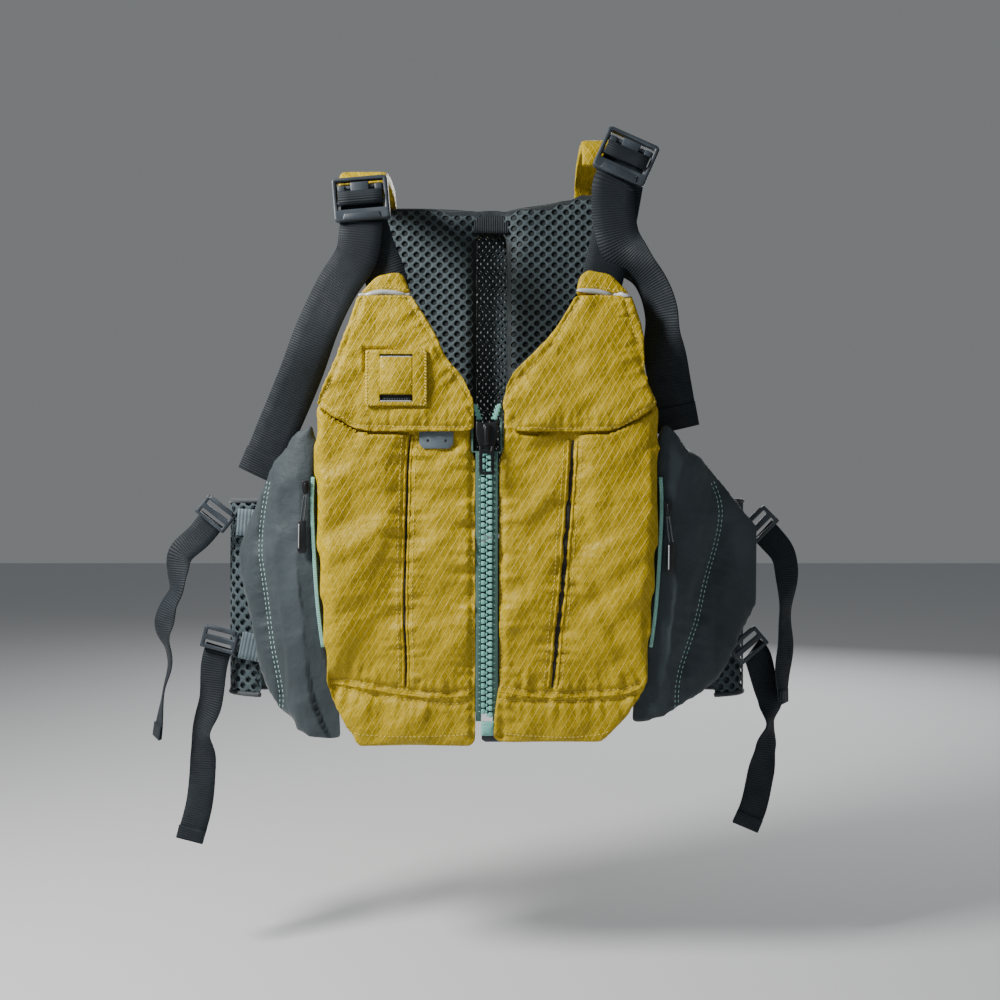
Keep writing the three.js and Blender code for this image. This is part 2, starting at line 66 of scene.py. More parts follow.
# ---------- camera ----------
lens = bpy.data.cameras.new("camera")
lens.lens = 38.1
lens.sensor_width = 36
camera = bpy.data.objects.new("camera", lens)
bpy.context.scene.collection.objects.link(camera)
camera.location = Vector((12.75, -955, -284.75)) * MM
camera.rotation_euler = (math.radians(90), 0, 0)
bpy.context.scene.camera = camera


# ---------- finishes ----------
class Finish:
    """A node material with short calls for wiring it."""

    def __init__(self, name, roughness=0.8, **sockets):
        self.made = bpy.data.materials.new(name)
        self.made.use_nodes = True
        self.tree = self.made.node_tree
        self.shader = self.tree.nodes["Principled BSDF"]
        self.shader.inputs["Roughness"].default_value = roughness
        for key, value in sockets.items():
            self.shader.inputs[key.replace("_", " ")].default_value = value

    def node(self, kind, inputs=(), **settings):
        n = self.tree.nodes.new("ShaderNode" + kind)
        for key, value in settings.items():
            setattr(n, key, value)
        for key, value in dict(inputs).items():
            if isinstance(value, bpy.types.NodeSocket):
                self.tree.links.new(value, n.inputs[key])
            else:
                n.inputs[key].default_value = value
        return n

    def place(self, kind="Object"):
        return self.node("TexCoord").outputs[kind]

    def math(self, operation, a, b=0.0, c=0.0):
        return self.node("Math", {0: a, 1: b, 2: c}, operation=operation).outputs[0]

    def noise(self, scale, detail):
        inputs = {"Scale": scale, "Detail": detail, "Roughness": 0.55, "Vector": self.place()}
        return self.node("TexNoise", inputs).outputs["Fac"]

    def span(self, value, low, high, out_low=0.0, out_high=1.0):
        inputs = {"Value": value, 1: low, 2: high, 3: out_low, 4: out_high}
        return self.node("MapRange", inputs).outputs[0]

    def lines(self, where, direction, width):
        """1 on thin lines whose distance apart is 1 along the direction, 0 between them."""
        along = self.node("VectorMath", {0: where, 1: direction}, operation="DOT_PRODUCT").outputs["Value"]
        return self.span(self.math("PINGPONG", along, 0.5), 0.0, width, 1.0, 0.0)

    def mix(self, share, first, second):
        n = self.node("Mix", {0: share}, data_type="RGBA")
        for socket, value in ((n.inputs[6], first), (n.inputs[7], second)):
            if isinstance(value, bpy.types.NodeSocket):
                self.tree.links.new(value, socket)
            else:
                socket.default_value = (*value, 1.0)
        return n.outputs[2]

    def colour(self, value):
        self.tree.links.new(value, self.shader.inputs["Base Color"])

    def rough(self, value):
        self.tree.links.new(value, self.shader.inputs["Roughness"])

    def bump(self, *layers):
        """Each layer is (height, distance in mm); they are stacked in order."""
        under = None
        for height, distance in layers:
            inputs = {"Height": height, "Distance": distance * MM, "Strength": 1.0}
            if under is not None:
                inputs["Normal"] = under
            under = self.node("Bump", inputs).outputs[0]
        self.tree.links.new(under, self.shader.inputs["Normal"])


def ripstop(name, base, line, faded):
    """Coated ripstop: a fine weave under thin paler threads that cross in tall diamonds."""
    f = Finish(name, 0.5, Specular_IOR_Level=0.3)
    at = f.place()
    bend = f.node("VectorMath", {0: at}, operation="ADD")
    drift = f.node("TexNoise", {"Scale": 9.0, "Detail": 1.0, "Vector": at}).outputs["Color"]
    small = f.node("VectorMath", {0: drift, "Scale": 0.006}, operation="SCALE").outputs[0]
    f.tree.links.new(small, bend.inputs[1])
    at = bend.outputs[0]
    one = f.lines(at, (1 / 0.0062, 0.0, 1 / 0.0104), 0.085)
    two = f.lines(at, (1 / 0.0062, 0.0, -1 / 0.0104), 0.085)
    threads = f.math("MAXIMUM", one, two)
    weave = f.math("MULTIPLY", f.lines(at, (2400.0, 0, 0), 0.4), f.lines(at, (0, 900.0, 2400.0), 0.4))
    blotch = f.span(f.noise(14.0, 4.0), 0.35, 0.7)
    fine = f.span(f.noise(420.0, 2.0), 0.3, 0.7)
    ground = f.mix(f.math("MULTIPLY", blotch, 0.55), base, faded)
    ground = f.mix(f.math("MULTIPLY", fine, 0.12), ground, tuple(c * 0.6 for c in base))
    f.colour(f.mix(f.math("MULTIPLY", threads, 0.6), ground, line))
    f.rough(f.span(f.noise(60.0, 3.0), 0.3, 0.7, 0.36, 0.56))
    f.bump(
        (f.noise(26.0, 4.0), 6.0),
        (f.noise(90.0, 3.0), 2.0),
        (threads, 0.3),
        (weave, 0.05),
    )
    return f.made


def plain_cloth(name, base, pale, sheen=0.08):
    """Plain woven nylon with soft creases."""
    f = Finish(name, 0.62, Sheen_Weight=sheen, Sheen_Roughness=0.5, Specular_IOR_Level=0.32)
    at = f.place()
    weave = f.math("MULTIPLY", f.lines(at, (1800.0, 700.0, 0), 0.4), f.lines(at, (0, 0, 1800.0), 0.4))
    worn = f.span(f.noise(11.0, 5.0), 0.4, 0.75)
    f.colour(f.mix(f.math("MULTIPLY", worn, 0.5), base, pale))
    f.rough(f.span(f.noise(50.0, 3.0), 0.3, 0.7, 0.5, 0.72))
    f.bump((f.noise(22.0, 5.0), 3.0), (f.noise(70.0, 3.0), 0.9), (weave, 0.06))
    return f.made


def webbing_cloth(name, base, pale, rib=2.1):
    """Flat woven webbing: strong ribs across it and a fine chain of loops along it."""
    f = Finish(name, 0.6, Sheen_Weight=0.02, Specular_IOR_Level=0.24)
    at = f.place("UV")
    across = f.lines(at, (PER_M / rib, 0, 0), 0.5)
    slant_a = f.lines(at, (PER_M / rib, PER_M / 1.5, 0), 0.4)
    slant_b = f.lines(at, (PER_M / rib, -PER_M / 1.5, 0), 0.4)
    chain = f.math("MAXIMUM", slant_a, slant_b)
    height = f.math("MULTIPLY_ADD", chain, 0.35, across)
    worn = f.math("MULTIPLY", f.span(f.noise(30.0, 4.0), 0.35, 0.75), 0.5)
    ground = f.mix(worn, base, pale)
    # the raised ribs and loops are painted toward the pale colour: painted highlight on the crests, painted shade in
    # the grooves
    f.colour(f.mix(f.span(height, 0.1, 1.2, 0.0, 0.55), ground, pale))
    f.rough(f.span(f.noise(90.0, 2.0), 0.3, 0.7, 0.5, 0.72))
    f.bump((f.noise(25.0, 3.0), 0.8), (height, 0.34))
    return f.made


def moulded(name, base, pale, roughness=0.42, grain=0.06):
    """Moulded plastic with a faint spark-eroded grain and rubbed patches."""
    f = Finish(name, roughness, Specular_IOR_Level=0.5)
    rubbed = f.span(f.noise(38.0, 5.0), 0.5, 0.78)
    f.colour(f.mix(f.math("MULTIPLY", rubbed, 0.5), base, pale))
    f.rough(f.span(f.noise(55.0, 4.0), 0.3, 0.75, roughness - 0.08, roughness + 0.14))
    f.bump((f.noise(900.0, 2.0), grain), (f.noise(60.0, 2.0), 0.1))
    return f.made


def thread_like(name, base, pale):
    """Twisted thread or tape, with fine strands."""
    f = Finish(name, 0.7, Sheen_Weight=0.3)
    strands = f.noise(1500.0, 2.0)
    f.colour(f.mix(f.span(strands, 0.35, 0.65), base, pale))
    f.bump((strands, 0.12), (f.noise(300.0, 2.0), 0.15))
    return f.made


YELLOW = ripstop("yellow_ripstop", (0.47, 0.325, 0.003), (0.78, 0.60, 0.08), (0.37, 0.25, 0.002))
GREY = plain_cloth("grey_nylon", (0.026, 0.038, 0.045), (0.062, 0.082, 0.094), 0.16)
LINING = plain_cloth("dark_lining", (0.014, 0.02, 0.024), (0.024, 0.033, 0.038))
MESH = plain_cloth("spacer_mesh", (0.042, 0.062, 0.072), (0.11, 0.145, 0.16), 0.12)
WEBBING = webbing_cloth("woven_webbing", (0.005, 0.008, 0.0115), (0.018, 0.026, 0.034))
ELASTIC = webbing_cloth("ribbed_elastic", (0.06, 0.085, 0.1), (0.17, 0.22, 0.25), 3.2)
PLASTIC = moulded("buckle_plastic", (0.03, 0.04, 0.052), (0.1, 0.125, 0.15))
PLASTIC_PALE = moulded("tab_plastic", (0.11, 0.145, 0.17), (0.17, 0.21, 0.24), 0.5)
BLACK = moulded("black_enamel", (0.006, 0.007, 0.009), (0.03, 0.034, 0.038), 0.3, 0.03)
MINT = moulded("mint_acetal", (0.2, 0.5, 0.445), (0.33, 0.66, 0.6), 0.38, 0.03)
TAPE = thread_like("zip_tape", (0.045, 0.12, 0.1), (0.1, 0.22, 0.19))
MINT_THREAD = thread_like("mint_thread", (0.3, 0.58, 0.52), (0.5, 0.78, 0.72))
GOLD_THREAD = thread_like("gold_thread", (0.6, 0.45, 0.06), (0.86, 0.68, 0.16))
DARK_THREAD = thread_like("dark_thread", (0.016, 0.02, 0.026), (0.04, 0.05, 0.06))
# near-black finish laid as painted shade in openings, slots and holes
PAINTED_SHADE = thread_like("slit_shadow", (0.004, 0.004, 0.004), (0.012, 0.011, 0.009))
SILVER = moulded("reflective_tape", (0.42, 0.44, 0.46), (0.62, 0.64, 0.66), 0.3, 0.03)


# ---------- mesh helpers ----------
def finish_piece(name, bm, finish, body=None):
    """Turns a bmesh in millimetres into a piece of the jacket in metres."""
    mesh = bpy.data.meshes.new(name)
    bmesh.ops.scale(bm, vec=(MM,) * 3, verts=bm.verts)
    bm.to_mesh(mesh)
    bm.free()
    mesh.materials.append(finish)
    for p in mesh.polygons:
        p.use_smooth = True
    made = bpy.data.objects.new(name, mesh)
    bpy.context.scene.collection.objects.link(made)
    if body:
        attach(made, body)
    return made


def rounded(piece):
    """Adds one level of subdivision, the same in every view."""
    sub = piece.modifiers.new("round", "SUBSURF")
    sub.levels = 1
    sub.render_levels = 1
    return piece


def baked(piece):
    """Applies what the modifiers make of the piece."""
    bpy.context.view_layer.update()
    seen = piece.evaluated_get(bpy.context.evaluated_depsgraph_get())
    mesh = bpy.data.meshes.new_from_object(seen)
    piece.modifiers.clear()
    piece.vertex_groups.clear()
    piece.data = mesh
    return piece


def add_to(whole, part):
    """Moves one bmesh into another."""
    mesh = bpy.data.meshes.new("part")
    part.to_mesh(mesh)
    part.free()
    whole.from_mesh(mesh)
    bpy.data.meshes.remove(mesh)


def joined(*parts):
    """Several bmeshes as one."""
    whole = bmesh.new()
    for part in parts:
        add_to(whole, part)
    return whole


def node_box(name):
    """The low and high corners of a CAD node in millimetres."""
    low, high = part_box(name)
    return low * PER_M, high * PER_M


def taken_from(nodes, stretch=None):
    """A bmesh in millimetres with copies of CAD nodes, each merged.

    Stretch gives a node new front and rear levels.
    """
    bm = bmesh.new()
    for name in nodes:
        part = bmesh.new()
        part.from_mesh(NODES[name].data)
        bmesh.ops.remove_doubles(part, verts=part.verts, dist=1e-5)
        bmesh.ops.scale(part, vec=(PER_M,) * 3, verts=part.verts)
        if stretch and name in stretch:
            front, rear = stretch[name]
            ys = [v.co.y for v in part.verts]
            low, high = min(ys), max(ys)
            for v in part.verts:
                v.co.y = front + (v.co.y - low) / (high - low) * (rear - front)
        add_to(bm, part)
    return bm


def overlapped(bm, level, by):
    """Pushes two rims that meet at a level through each other, so that they remesh as one."""
    for v in bm.verts:
        if abs(v.co.z - level) < 0.5:
            v.co.z = level + (by if v.co.z < level else -by)


def remeshed(name, bm, voxel, finish):
    """A piece with one even skin over everything in the bmesh."""
    piece = finish_piece(name, bm, finish)
    skin = piece.modifiers.new("skin", "REMESH")
    skin.mode = "VOXEL"
    skin.voxel_size = voxel * MM
    baked(piece)
    piece.data.materials.clear()
    piece.data.materials.append(finish)
    return piece


DENSE = 12  # points worked out between two given ones


def even(points, step):
    """The same path with points an even step apart, smoothed between the given ones."""
    pts = [Vector(p) for p in points]
    dense = []
    for i in range(len(pts) - 1):
        p0, p1, p2, p3 = pts[max(i - 1, 0)], pts[i], pts[i + 1], pts[min(i + 2, len(pts) - 1)]
        for k in range(DENSE):
            t = k / DENSE
            a = p1 * 2 + (p2 - p0) * t
            b = (p0 * 2 - p1 * 5 + p2 * 4 - p3) * t * t
            c = (p1 * 3 - p0 - p2 * 3 + p3) * t * t * t
            dense.append((a + b + c) * 0.5)
    dense.append(pts[-1])
    gone = [0.0]
    for a, b in zip(dense, dense[1:]):
        gone.append(gone[-1] + (b - a).length)
    count = max(2, round(gone[-1] / step) + 1)
    out, j = [], 0
    for k in range(count):
        s = gone[-1] * k / (count - 1)
        while j < len(gone) - 2 and gone[j + 1] < s:
            j += 1
        share = (s - gone[j]) / max(gone[j + 1] - gone[j], 1e-9)
        out.append(dense[j].lerp(dense[j + 1], min(max(share, 0), 1)))
    return out


class Lines:
    """Sewn lines in X and Z that pull the fabric in."""

    STEP = 1.5
    NEXT_LINE = 977.0  # keeps the gathers of one line from repeating on the next

    def __init__(self, *paths):
        self.points = []
        for n, path in enumerate(paths):
            for i, p in enumerate(even([(x, 0, z) for x, z in path], self.STEP)):
                self.points.append((p, n * self.NEXT_LINE + i * self.STEP))
        self.tree = KDTree(len(self.points))
        for i, (p, _) in enumerate(self.points):
            self.tree.insert(p, i)
        self.tree.balance()

    def near(self, x, z):
        _, i, gap = self.tree.find((x, 0, z))
        return gap, self.points[i][1]


CLOTH_FRAMES = 14
CLOTH_STIFFNESS = 15.0


def puff(piece, pressure, cap, lines, hold):
    """Blows the padding up as cloth; sewn lines are held and no point moves further than the cap."""
    rest = [v.co.copy() for v in piece.data.vertices]
    cloth = piece.modifiers.new("cloth", "CLOTH")
    s = cloth.settings
    s.quality = 4
    s.mass = 0.3
    s.tension_stiffness = CLOTH_STIFFNESS
    s.compression_stiffness = CLOTH_STIFFNESS
    s.shear_stiffness = 5
    s.bending_stiffness = 0.4
    s.use_pressure = True
    s.uniform_pressure_force = pressure
    s.effector_weights.gravity = 0
    cloth.collision_settings.use_collision = False
    sewn = piece.vertex_groups.new(name="sewn")
    held = [v.index for v in piece.data.vertices if lines.near(v.co.x * PER_M, v.co.z * PER_M)[0] < hold]
    sewn.add(held, 1.0, "REPLACE")
    s.vertex_group_mass = "sewn"
    cloth.point_cache.frame_start = 1
    cloth.point_cache.frame_end = CLOTH_FRAMES
    for f in range(1, CLOTH_FRAMES + 1):
        bpy.context.scene.frame_set(f)
    baked(piece)
    bpy.context.scene.frame_set(1)
    for v, start in zip(piece.data.vertices, rest):
        move = v.co - start
        if move.length > cap * MM:
            v.co = start + move * (cap * MM / move.length)
    baked(rounded(piece))
    for p in piece.data.polygons:
        p.use_smooth = True
    return piece


def resmoothed(piece, times, chosen=lambda v: True):
    """Evens out the chosen points of a piece."""
    bm = bmesh.new()
    bm.from_mesh(piece.data)
    verts = [v for v in bm.verts if chosen(v)]
    for _ in range(times):
        bmesh.ops.smooth_vert(bm, verts=verts, factor=0.5, use_axis_x=True, use_axis_y=True, use_axis_z=True)
    bm.to_mesh(piece.data)
    bm.free()
    return piece


def calm_edges(piece, times):
    """Evens out the narrow rim round a padded piece."""
    return resmoothed(piece, times, lambda v: abs(v.normal.y) < 0.75)


def pucker(piece, lines, depth, reach, ripple, spread, facing=-1):
    """Draws the fabric in along its sewn lines, with small gathers running off them."""
    out = [v.normal.y * facing for v in piece.data.vertices]
    for v, toward in zip(piece.data.vertices, out):
        if toward < 0.15:
            continue
        x, z = v.co.x * PER_M, v.co.z * PER_M
        gap, s = lines.near(x, z)
        if gap > spread * 2.2:
            continue
        wave = noise.noise((s / 6.5, x / 60, z / 60)) + 0.5 * noise.noise((s / 3.1, 4.0, z / 40))
        gather = ripple * wave * math.exp(-((gap / spread) ** 2)) * min(gap / 2.5, 1)
        valley = depth * math.exp(-((gap / reach) ** 2))
        v.co.y -= facing * (valley - gather) * MM
    return piece


def crumple(piece, height, size, seed, facing=-1):
    """Broad soft folds over a padded face."""
    normals = [v.normal.copy() for v in piece.data.vertices]
    for v, normal in zip(piece.data.vertices, normals):
        if normal.y * facing < 0.2:
            continue
        at = v.co * (PER_M / size) + Vector((seed, seed * 0.7, 0))
        slant = Vector((at.x * 0.5 + at.z * 0.25, at.y, at.z * 0.95 - at.x * 0.55))
        fold = noise.noise(slant * 1.3) + 0.6 * noise.noise(slant * 2.6 + Vector((3, 1, 7)))
        v.co += normal * (fold * height * normal.y**2 * MM)
    return piece


FAR = 260.0  # further out than any piece


class Skin:
    """Finds where a line straight back from the front meets these pieces."""

    def __init__(self, *pieces):
        self.trees = []
        for piece in pieces:
            bm = bmesh.new()
            bm.from_mesh(piece.data)
            bmesh.ops.scale(bm, vec=(PER_M,) * 3, verts=bm.verts)
            self.trees.append(BVHTree.FromBMesh(bm))
            bm.free()

    def met(self, x, z):
        return any(t.ray_cast(Vector((x, -FAR, z)), Vector((0, 1, 0)))[0] is not None for t in self.trees)

    def at(self, x, z, proud=0.0, default=-52.0, way=1):
        best = None
        for tree in self.trees:
            hit, normal, _, _ = tree.ray_cast(Vector((x, -FAR * way, z)), Vector((0, way, 0)))
            if hit is not None and (best is None or (hit.y < best[0].y) == (way > 0)):
                best = (hit, normal)
        if best is None:
            return Vector((x, default, z)), Vector((0, -way, 0))
        hit, normal = best
        return hit + normal * proud, normal


class RearSkin(Skin):
    """The same, met from behind."""

    def at(self, x, z, proud=0.0, default=76.0, way=-1):
        return super().at(x, z, proud, default, -1)


def grid_strip(length, width, thick, step, across=4):
    """A closed flat strip with a UV map in metres along and across it."""
    bm = bmesh.new()
    cells = max(2, round(length / step))
    bmesh.ops.create_grid(bm, x_segments=cells, y_segments=across, size=0.5)
    for v in bm.verts:
        v.co = Vector(((v.co.x + 0.5) * length, v.co.y * width, -thick / 2))
    bmesh.ops.solidify(bm, geom=bm.faces[:], thickness=-thick)
    bmesh.ops.recalc_face_normals(bm, faces=bm.faces)
    rims = [e for e in bm.edges if len(e.link_faces) == 2 and e.calc_face_angle(0) > 1.0]
    bmesh.ops.bevel(bm, geom=rims, offset=thick * 0.3, affect="EDGES", segments=1, profile=0.5, material=-1)
    uv = bm.loops.layers.uv.new("UVMap")
    for f in bm.faces:
        for loop in f.loops:
            loop[uv].uv = (loop.vert.co.x * MM, loop.vert.co.y * MM)
    return bm


FLAT = ((0, 0), (1, 0))


def strap(name, path, width, thick, finish, body, turns=FLAT, cup=0.0, step=2.5, sway=0.0):
    """Webbing swept along a path of (x, y, z); turns gives its twist in degrees as (share, angle) pairs."""
    line = even(path, 2.0)
    length = sum((b - a).length for a, b in zip(line, line[1:]))
    bm = grid_strip(length, width, thick, step)
    face = Vector((0, -1, 0))

    def twist(share):
        for (s0, a0), (s1, a1) in zip(turns, turns[1:]):
            if s0 <= share <= s1:
                t = (share - s0) / (s1 - s0)
                return math.radians(a0 + (a1 - a0) * (t * t * (3 - 2 * t)))
        return math.radians(turns[-1][1])

    frames = []
    for i, p in enumerate(line):
        ahead = (line[min(i + 1, len(line) - 1)] - line[max(i - 1, 0)]).normalized()
        out = (face - ahead * face.dot(ahead)).normalized()
        turned = Matrix.Rotation(twist(i / (len(line) - 1)), 3, ahead)
        out = turned @ out
        frames.append((p, ahead, ahead.cross(out), out))
    for v in bm.verts:
        share = min(max(v.co.x / length, 0), 1)
        at = share * (len(frames) - 1)
        i = min(int(at), len(frames) - 2)
        t = at - i
        (p0, a0, s0, n0), (p1, a1, s1, n1) = frames[i], frames[i + 1]
        p, side, out = p0.lerp(p1, t), s0.lerp(s1, t).normalized(), n0.lerp(n1, t).normalized()
        bow = cup * (1 - (2 * v.co.y / width) ** 2)
        wobble = sway * noise.noise((share * length / 40, v.co.y / 30, length))
        v.co = p + side * v.co.y + out * (v.co.z + bow + wobble)
    bmesh.ops.recalc_face_normals(bm, faces=bm.faces)
    return finish_piece(name, bm, finish, body)


def round_edges(bm, bevel, segments):
    sharp = [e for e in bm.edges if e.calc_face_angle(0) > 0.5]
    bmesh.ops.bevel(
        bm, geom=sharp, offset=bevel, affect="EDGES", segments=segments, profile=0.5, material=-1, clamp_overlap=True
    )


def rectangle(x0, z0, x1, z1):
    return [(x0, z0), (x1, z0), (x1, z1), (x0, z1)]


def prism(outline, y0, y1, bevel, segments=2):
    """An outline in X and Z made solid from y0 to y1 with rounded edges."""
    bm = bmesh.new()
    ring = [bm.verts.new((x, y0, z)) for x, z in outline]
    face = bm.faces.new(ring)
    pushed = bmesh.ops.extrude_face_region(bm, geom=[face])["geom"]
    moved = [g for g in pushed if isinstance(g, bmesh.types.BMVert)]
    bmesh.ops.translate(bm, vec=(0, y1 - y0, 0), verts=moved)
    bmesh.ops.recalc_face_normals(bm, faces=bm.faces)
    if bevel:
        round_edges(bm, bevel, segments)
    return bm


def window_plate(xs, zs, gone, thick, bevel, segments=2):
    """A plate with square windows: lines at xs and zs, the cells in gone left out."""
    bm = bmesh.new()
    nx, nz = len(xs) - 1, len(zs) - 1
    bmesh.ops.create_grid(bm, x_segments=nx, y_segments=nz, size=0.5)
    out = []
    for f in bm.faces:
        c = f.calc_center_median()
        if (int((c.x + 0.5) * nx), int((c.y + 0.5) * nz)) in gone:
            out.append(f)
    bmesh.ops.delete(bm, geom=out, context="FACES")
    for v in bm.verts:
        v.co = Vector((xs[round((v.co.x + 0.5) * nx)], -thick / 2, zs[round((v.co.y + 0.5) * nz)]))
    bm.normal_update()
    bmesh.ops.solidify(bm, geom=bm.faces[:], thickness=thick)
    bmesh.ops.recalc_face_normals(bm, faces=bm.faces)
    lows = [v.co.y for v in bm.verts]
    bmesh.ops.translate(bm, vec=(0, -(min(lows) + max(lows)) / 2, 0), verts=bm.verts)
    round_edges(bm, bevel, segments)
    return bm


def moved(bm, turn=None, shift=(0, 0, 0)):
    if turn is not None:
        bmesh.ops.rotate(bm, verts=bm.verts, cent=(0, 0, 0), matrix=turn)
    bmesh.ops.translate(bm, vec=shift, verts=bm.verts)
    return bm


def repeated(name, template, places, finish, body):
    """Copies of a small bmesh at each place, as one piece."""
    small = bpy.data.meshes.new("small")
    template.to_mesh(small)
    template.free()
    bm = bmesh.new()
    for place in places:
        one = small.copy()
        one.transform(place)
        bm.from_mesh(one)
        bpy.data.meshes.remove(one)
    bpy.data.meshes.remove(small)
    return finish_piece(name, bm, finish, body)


def stitch():
    """One stitch: a small ball, to be stretched into place."""
    seed = bmesh.new()
    bmesh.ops.create_uvsphere(seed, u_segments=6, v_segments=4, radius=0.5)
    return seed


def stitches(name, runs, skin, finish, body, long=2.6, gap=1.1, thick=0.55, proud=0.1, double=0.0):
    """Rows of stitches laid on the fabric along runs of (x, z)."""
    places = []
    for run in runs:
        pts = even([(x, 0, z) for x, z in run], long + gap)
        for a, b in zip(pts, pts[1:]):
            mid = (a + b) / 2
            way = (b - a).normalized()
            side = Vector((-way.z, 0, way.x))
            for off in (-double / 2, double / 2) if double else (0,):
                x, z = mid.x + side.x * off, mid.z + side.z * off
                if not skin.met(x, z):
                    continue
                p, normal = skin.at(x, z, proud)
                ends = [skin.at(x + way.x * k * long / 2, z + way.z * k * long / 2, proud)[0] for k in (-1, 1)]
                along = (ends[1] - ends[0]).normalized()
                up = (normal - along * normal.dot(along)).normalized()
                turn = Matrix((along, up.cross(along), up)).transposed().to_4x4()
                sized = Matrix.Diagonal((long, thick * 1.3, thick, 1))
                places.append(Matrix.Translation(p) @ turn @ sized)
    return repeated(name, stitch(), places, finish, body)


WELT_STEP = 2.0


def welt(name, path, radius, finish, body, skin=None, proud=0.0, flat=1.0, taper=0.0):
    """A fine rounded edge laid along a path; with a skin the path is (x, z) and follows it."""
    if skin:
        line = [skin.at(p.x, p.z, proud)[0] for p in even([(x, 0, z) for x, z in path], WELT_STEP)]
    else:
        line = even(path, WELT_STEP)
    bm = bmesh.new()
    bmesh.ops.create_cone(bm, cap_ends=True, segments=8, radius1=1, radius2=1, depth=1)
    bmesh.ops.rotate(bm, verts=bm.verts, cent=(0, 0, 0), matrix=Matrix.Rotation(math.radians(90), 3, "Y"))
    for v in bm.verts:
        v.co.x += 0.5
    for i in range(1, len(line) - 1):
        everything = bm.verts[:] + bm.edges[:] + bm.faces[:]
        bmesh.ops.bisect_plane(bm, geom=everything, plane_co=(i / (len(line) - 1), 0, 0), plane_no=(1, 0, 0))
    for v in bm.verts:
        at = min(max(v.co.x, 0), 1) * (len(line) - 1)
        i = min(int(at), len(line) - 2)
        p = line[i].lerp(line[i + 1], at - i)
        ahead = (line[min(i + 1, len(line) - 1)] - line[max(i - 1, 0)]).normalized()
        side = ahead.cross(Vector((0, 1, 0))).normalized()
        up = side.cross(ahead)
        thin = 1 - taper * (2 * v.co.x - 1) ** 4
        v.co = p + side * (v.co.y * radius * thin) + up * (v.co.z * radius * flat * thin)
    bmesh.ops.recalc_face_normals(bm, faces=bm.faces)
    return finish_piece(name, bm, finish, body)


def lattice(width, height, pitch, rim, wall, place, inside=None):
    """Spacer mesh: staggered round openings; place turns (0..1, 0..1, lift) into a point."""
    across, tall = pitch
    count = math.ceil(width / across + height / tall) + 2
    bm = bmesh.new()
    bmesh.ops.create_grid(bm, x_segments=count, y_segments=count, size=count / 2)

    def shares(v):
        x = (v.x - v.y) * across / 2 + width / 2
        z = (v.x + v.y) * tall / 2 + height / 2
        return x / width, z / height

    out = []
    for f in bm.faces:
        u, w = shares(f.calc_center_median())
        if not (0 <= u <= 1 and 0 <= w <= 1) or (inside and not inside(u, w)):
            out.append(f)
    bmesh.ops.delete(bm, geom=out, context="FACES")
    cells = bm.faces[:]
    bmesh.ops.inset_individual(bm, faces=cells, thickness=rim)
    bmesh.ops.delete(bm, geom=cells, context="FACES")
    pushed = bmesh.ops.extrude_face_region(bm, geom=bm.faces[:], use_keep_orig=True)["geom"]
    raised = {g for g in pushed if isinstance(g, bmesh.types.BMVert)}
    for v in bm.verts:
        u, w = shares(v.co)
        v.co = place(min(max(u, 0), 1), min(max(w, 0), 1), wall if v in raised else 0.0)
    bmesh.ops.recalc_face_normals(bm, faces=bm.faces)
    return bm


def sheet(across, tall, place):
    """A plain cloth face; place turns (0..1, 0..1) into a point."""
    bm = bmesh.new()
    bmesh.ops.create_grid(bm, x_segments=across, y_segments=tall, size=0.5)
    for v in bm.verts:
        v.co = place(v.co.x + 0.5, v.co.y + 0.5)
    return bm


# ---------- sewn lines of the two fronts, (x, z) ----------
SEWN = {
    "left": {
        "slit": [(-64, -229), (-66, -259), (-67.8, -326), (-69, -383), (-67.4, -420), (-67.8, -445)],
        "slit_wide": 1.3,
        "hem_upper": [(-131, -437), (-93, -443), (-68, -447), (-32, -449), (-9, -446)],
        "hem_lower": [(-129, -445), (-98, -451), (-62, -456), (-28, -459), (-11, -456)],
        "hem_foot": [(-116, -483), (-86, -486), (-32, -486), (-14, -484)],
        "flap": [
            (-8, -208), (-9.5, -226), (-56, -227.5), (-86, -227), (-110, -225.5), (-133, -212.5),
            (-143.5, -202), (-141, -192), (-134, -179), (-118.5, -140), (-109, -112),
        ],
        "neck": [(-62.5, -112), (-44.5, -140), (-32, -164), (-20, -178), (-9.5, -196)],
        "piping": [(-108, -110), (-86, -107.4), (-63.5, -109.6)],
        "mint": [
            (-190, -268), (-195.5, -298), (-198, -327), (-193, -366), (-187.6, -402), (-178, -450), (-178, -466),
        ],
    },
    "right": {
        "slit": [(75.3, -234), (70.6, -303), (68.9, -319), (66.7, -354), (62.6, -390), (60.2, -420), (57.4, -445)],
        "slit_wide": 2.6,
        "hem_upper": [(12, -444), (45, -448.5), (75, -449), (117, -446), (133, -440)],
        "hem_lower": [(12, -454), (27, -456), (69, -457), (104, -456), (129, -450)],
        "hem_foot": [(16, -484), (60, -487), (92, -486), (106, -482)],
        "flap": [
            (20, -216), (21, -227), (40, -228.5), (65, -229), (106, -228), (120, -226), (134, -214),
            (148, -205), (146, -186), (138, -167), (134.5, -150), (128, -130), (124, -113),
        ],
        "neck": [(77, -112), (57, -146), (46, -160), (28.6, -176.8), (21.5, -186), (14, -198)],
        "piping": [(78.5, -106), (99, -107.6), (122.5, -112.5)],
        "mint": [
            (200, -268), (206, -283), (207.5, -302), (202.5, -327), (192.5, -357), (184.5, -389),
            (178.4, -406), (167, -440), (165.5, -465),
        ],
    },
}


def inset(path, by):
    """The path moved sideways, to its left when the amount is positive."""
    out = []
    for i, (x, z) in enumerate(path):
        x0, z0 = path[max(i - 1, 0)]
        x1, z1 = path[min(i + 1, len(path) - 1)]
        far = math.hypot(x1 - x0, z1 - z0)
        out.append((x - (z1 - z0) / far * by, z + (x1 - x0) / far * by))
    return out


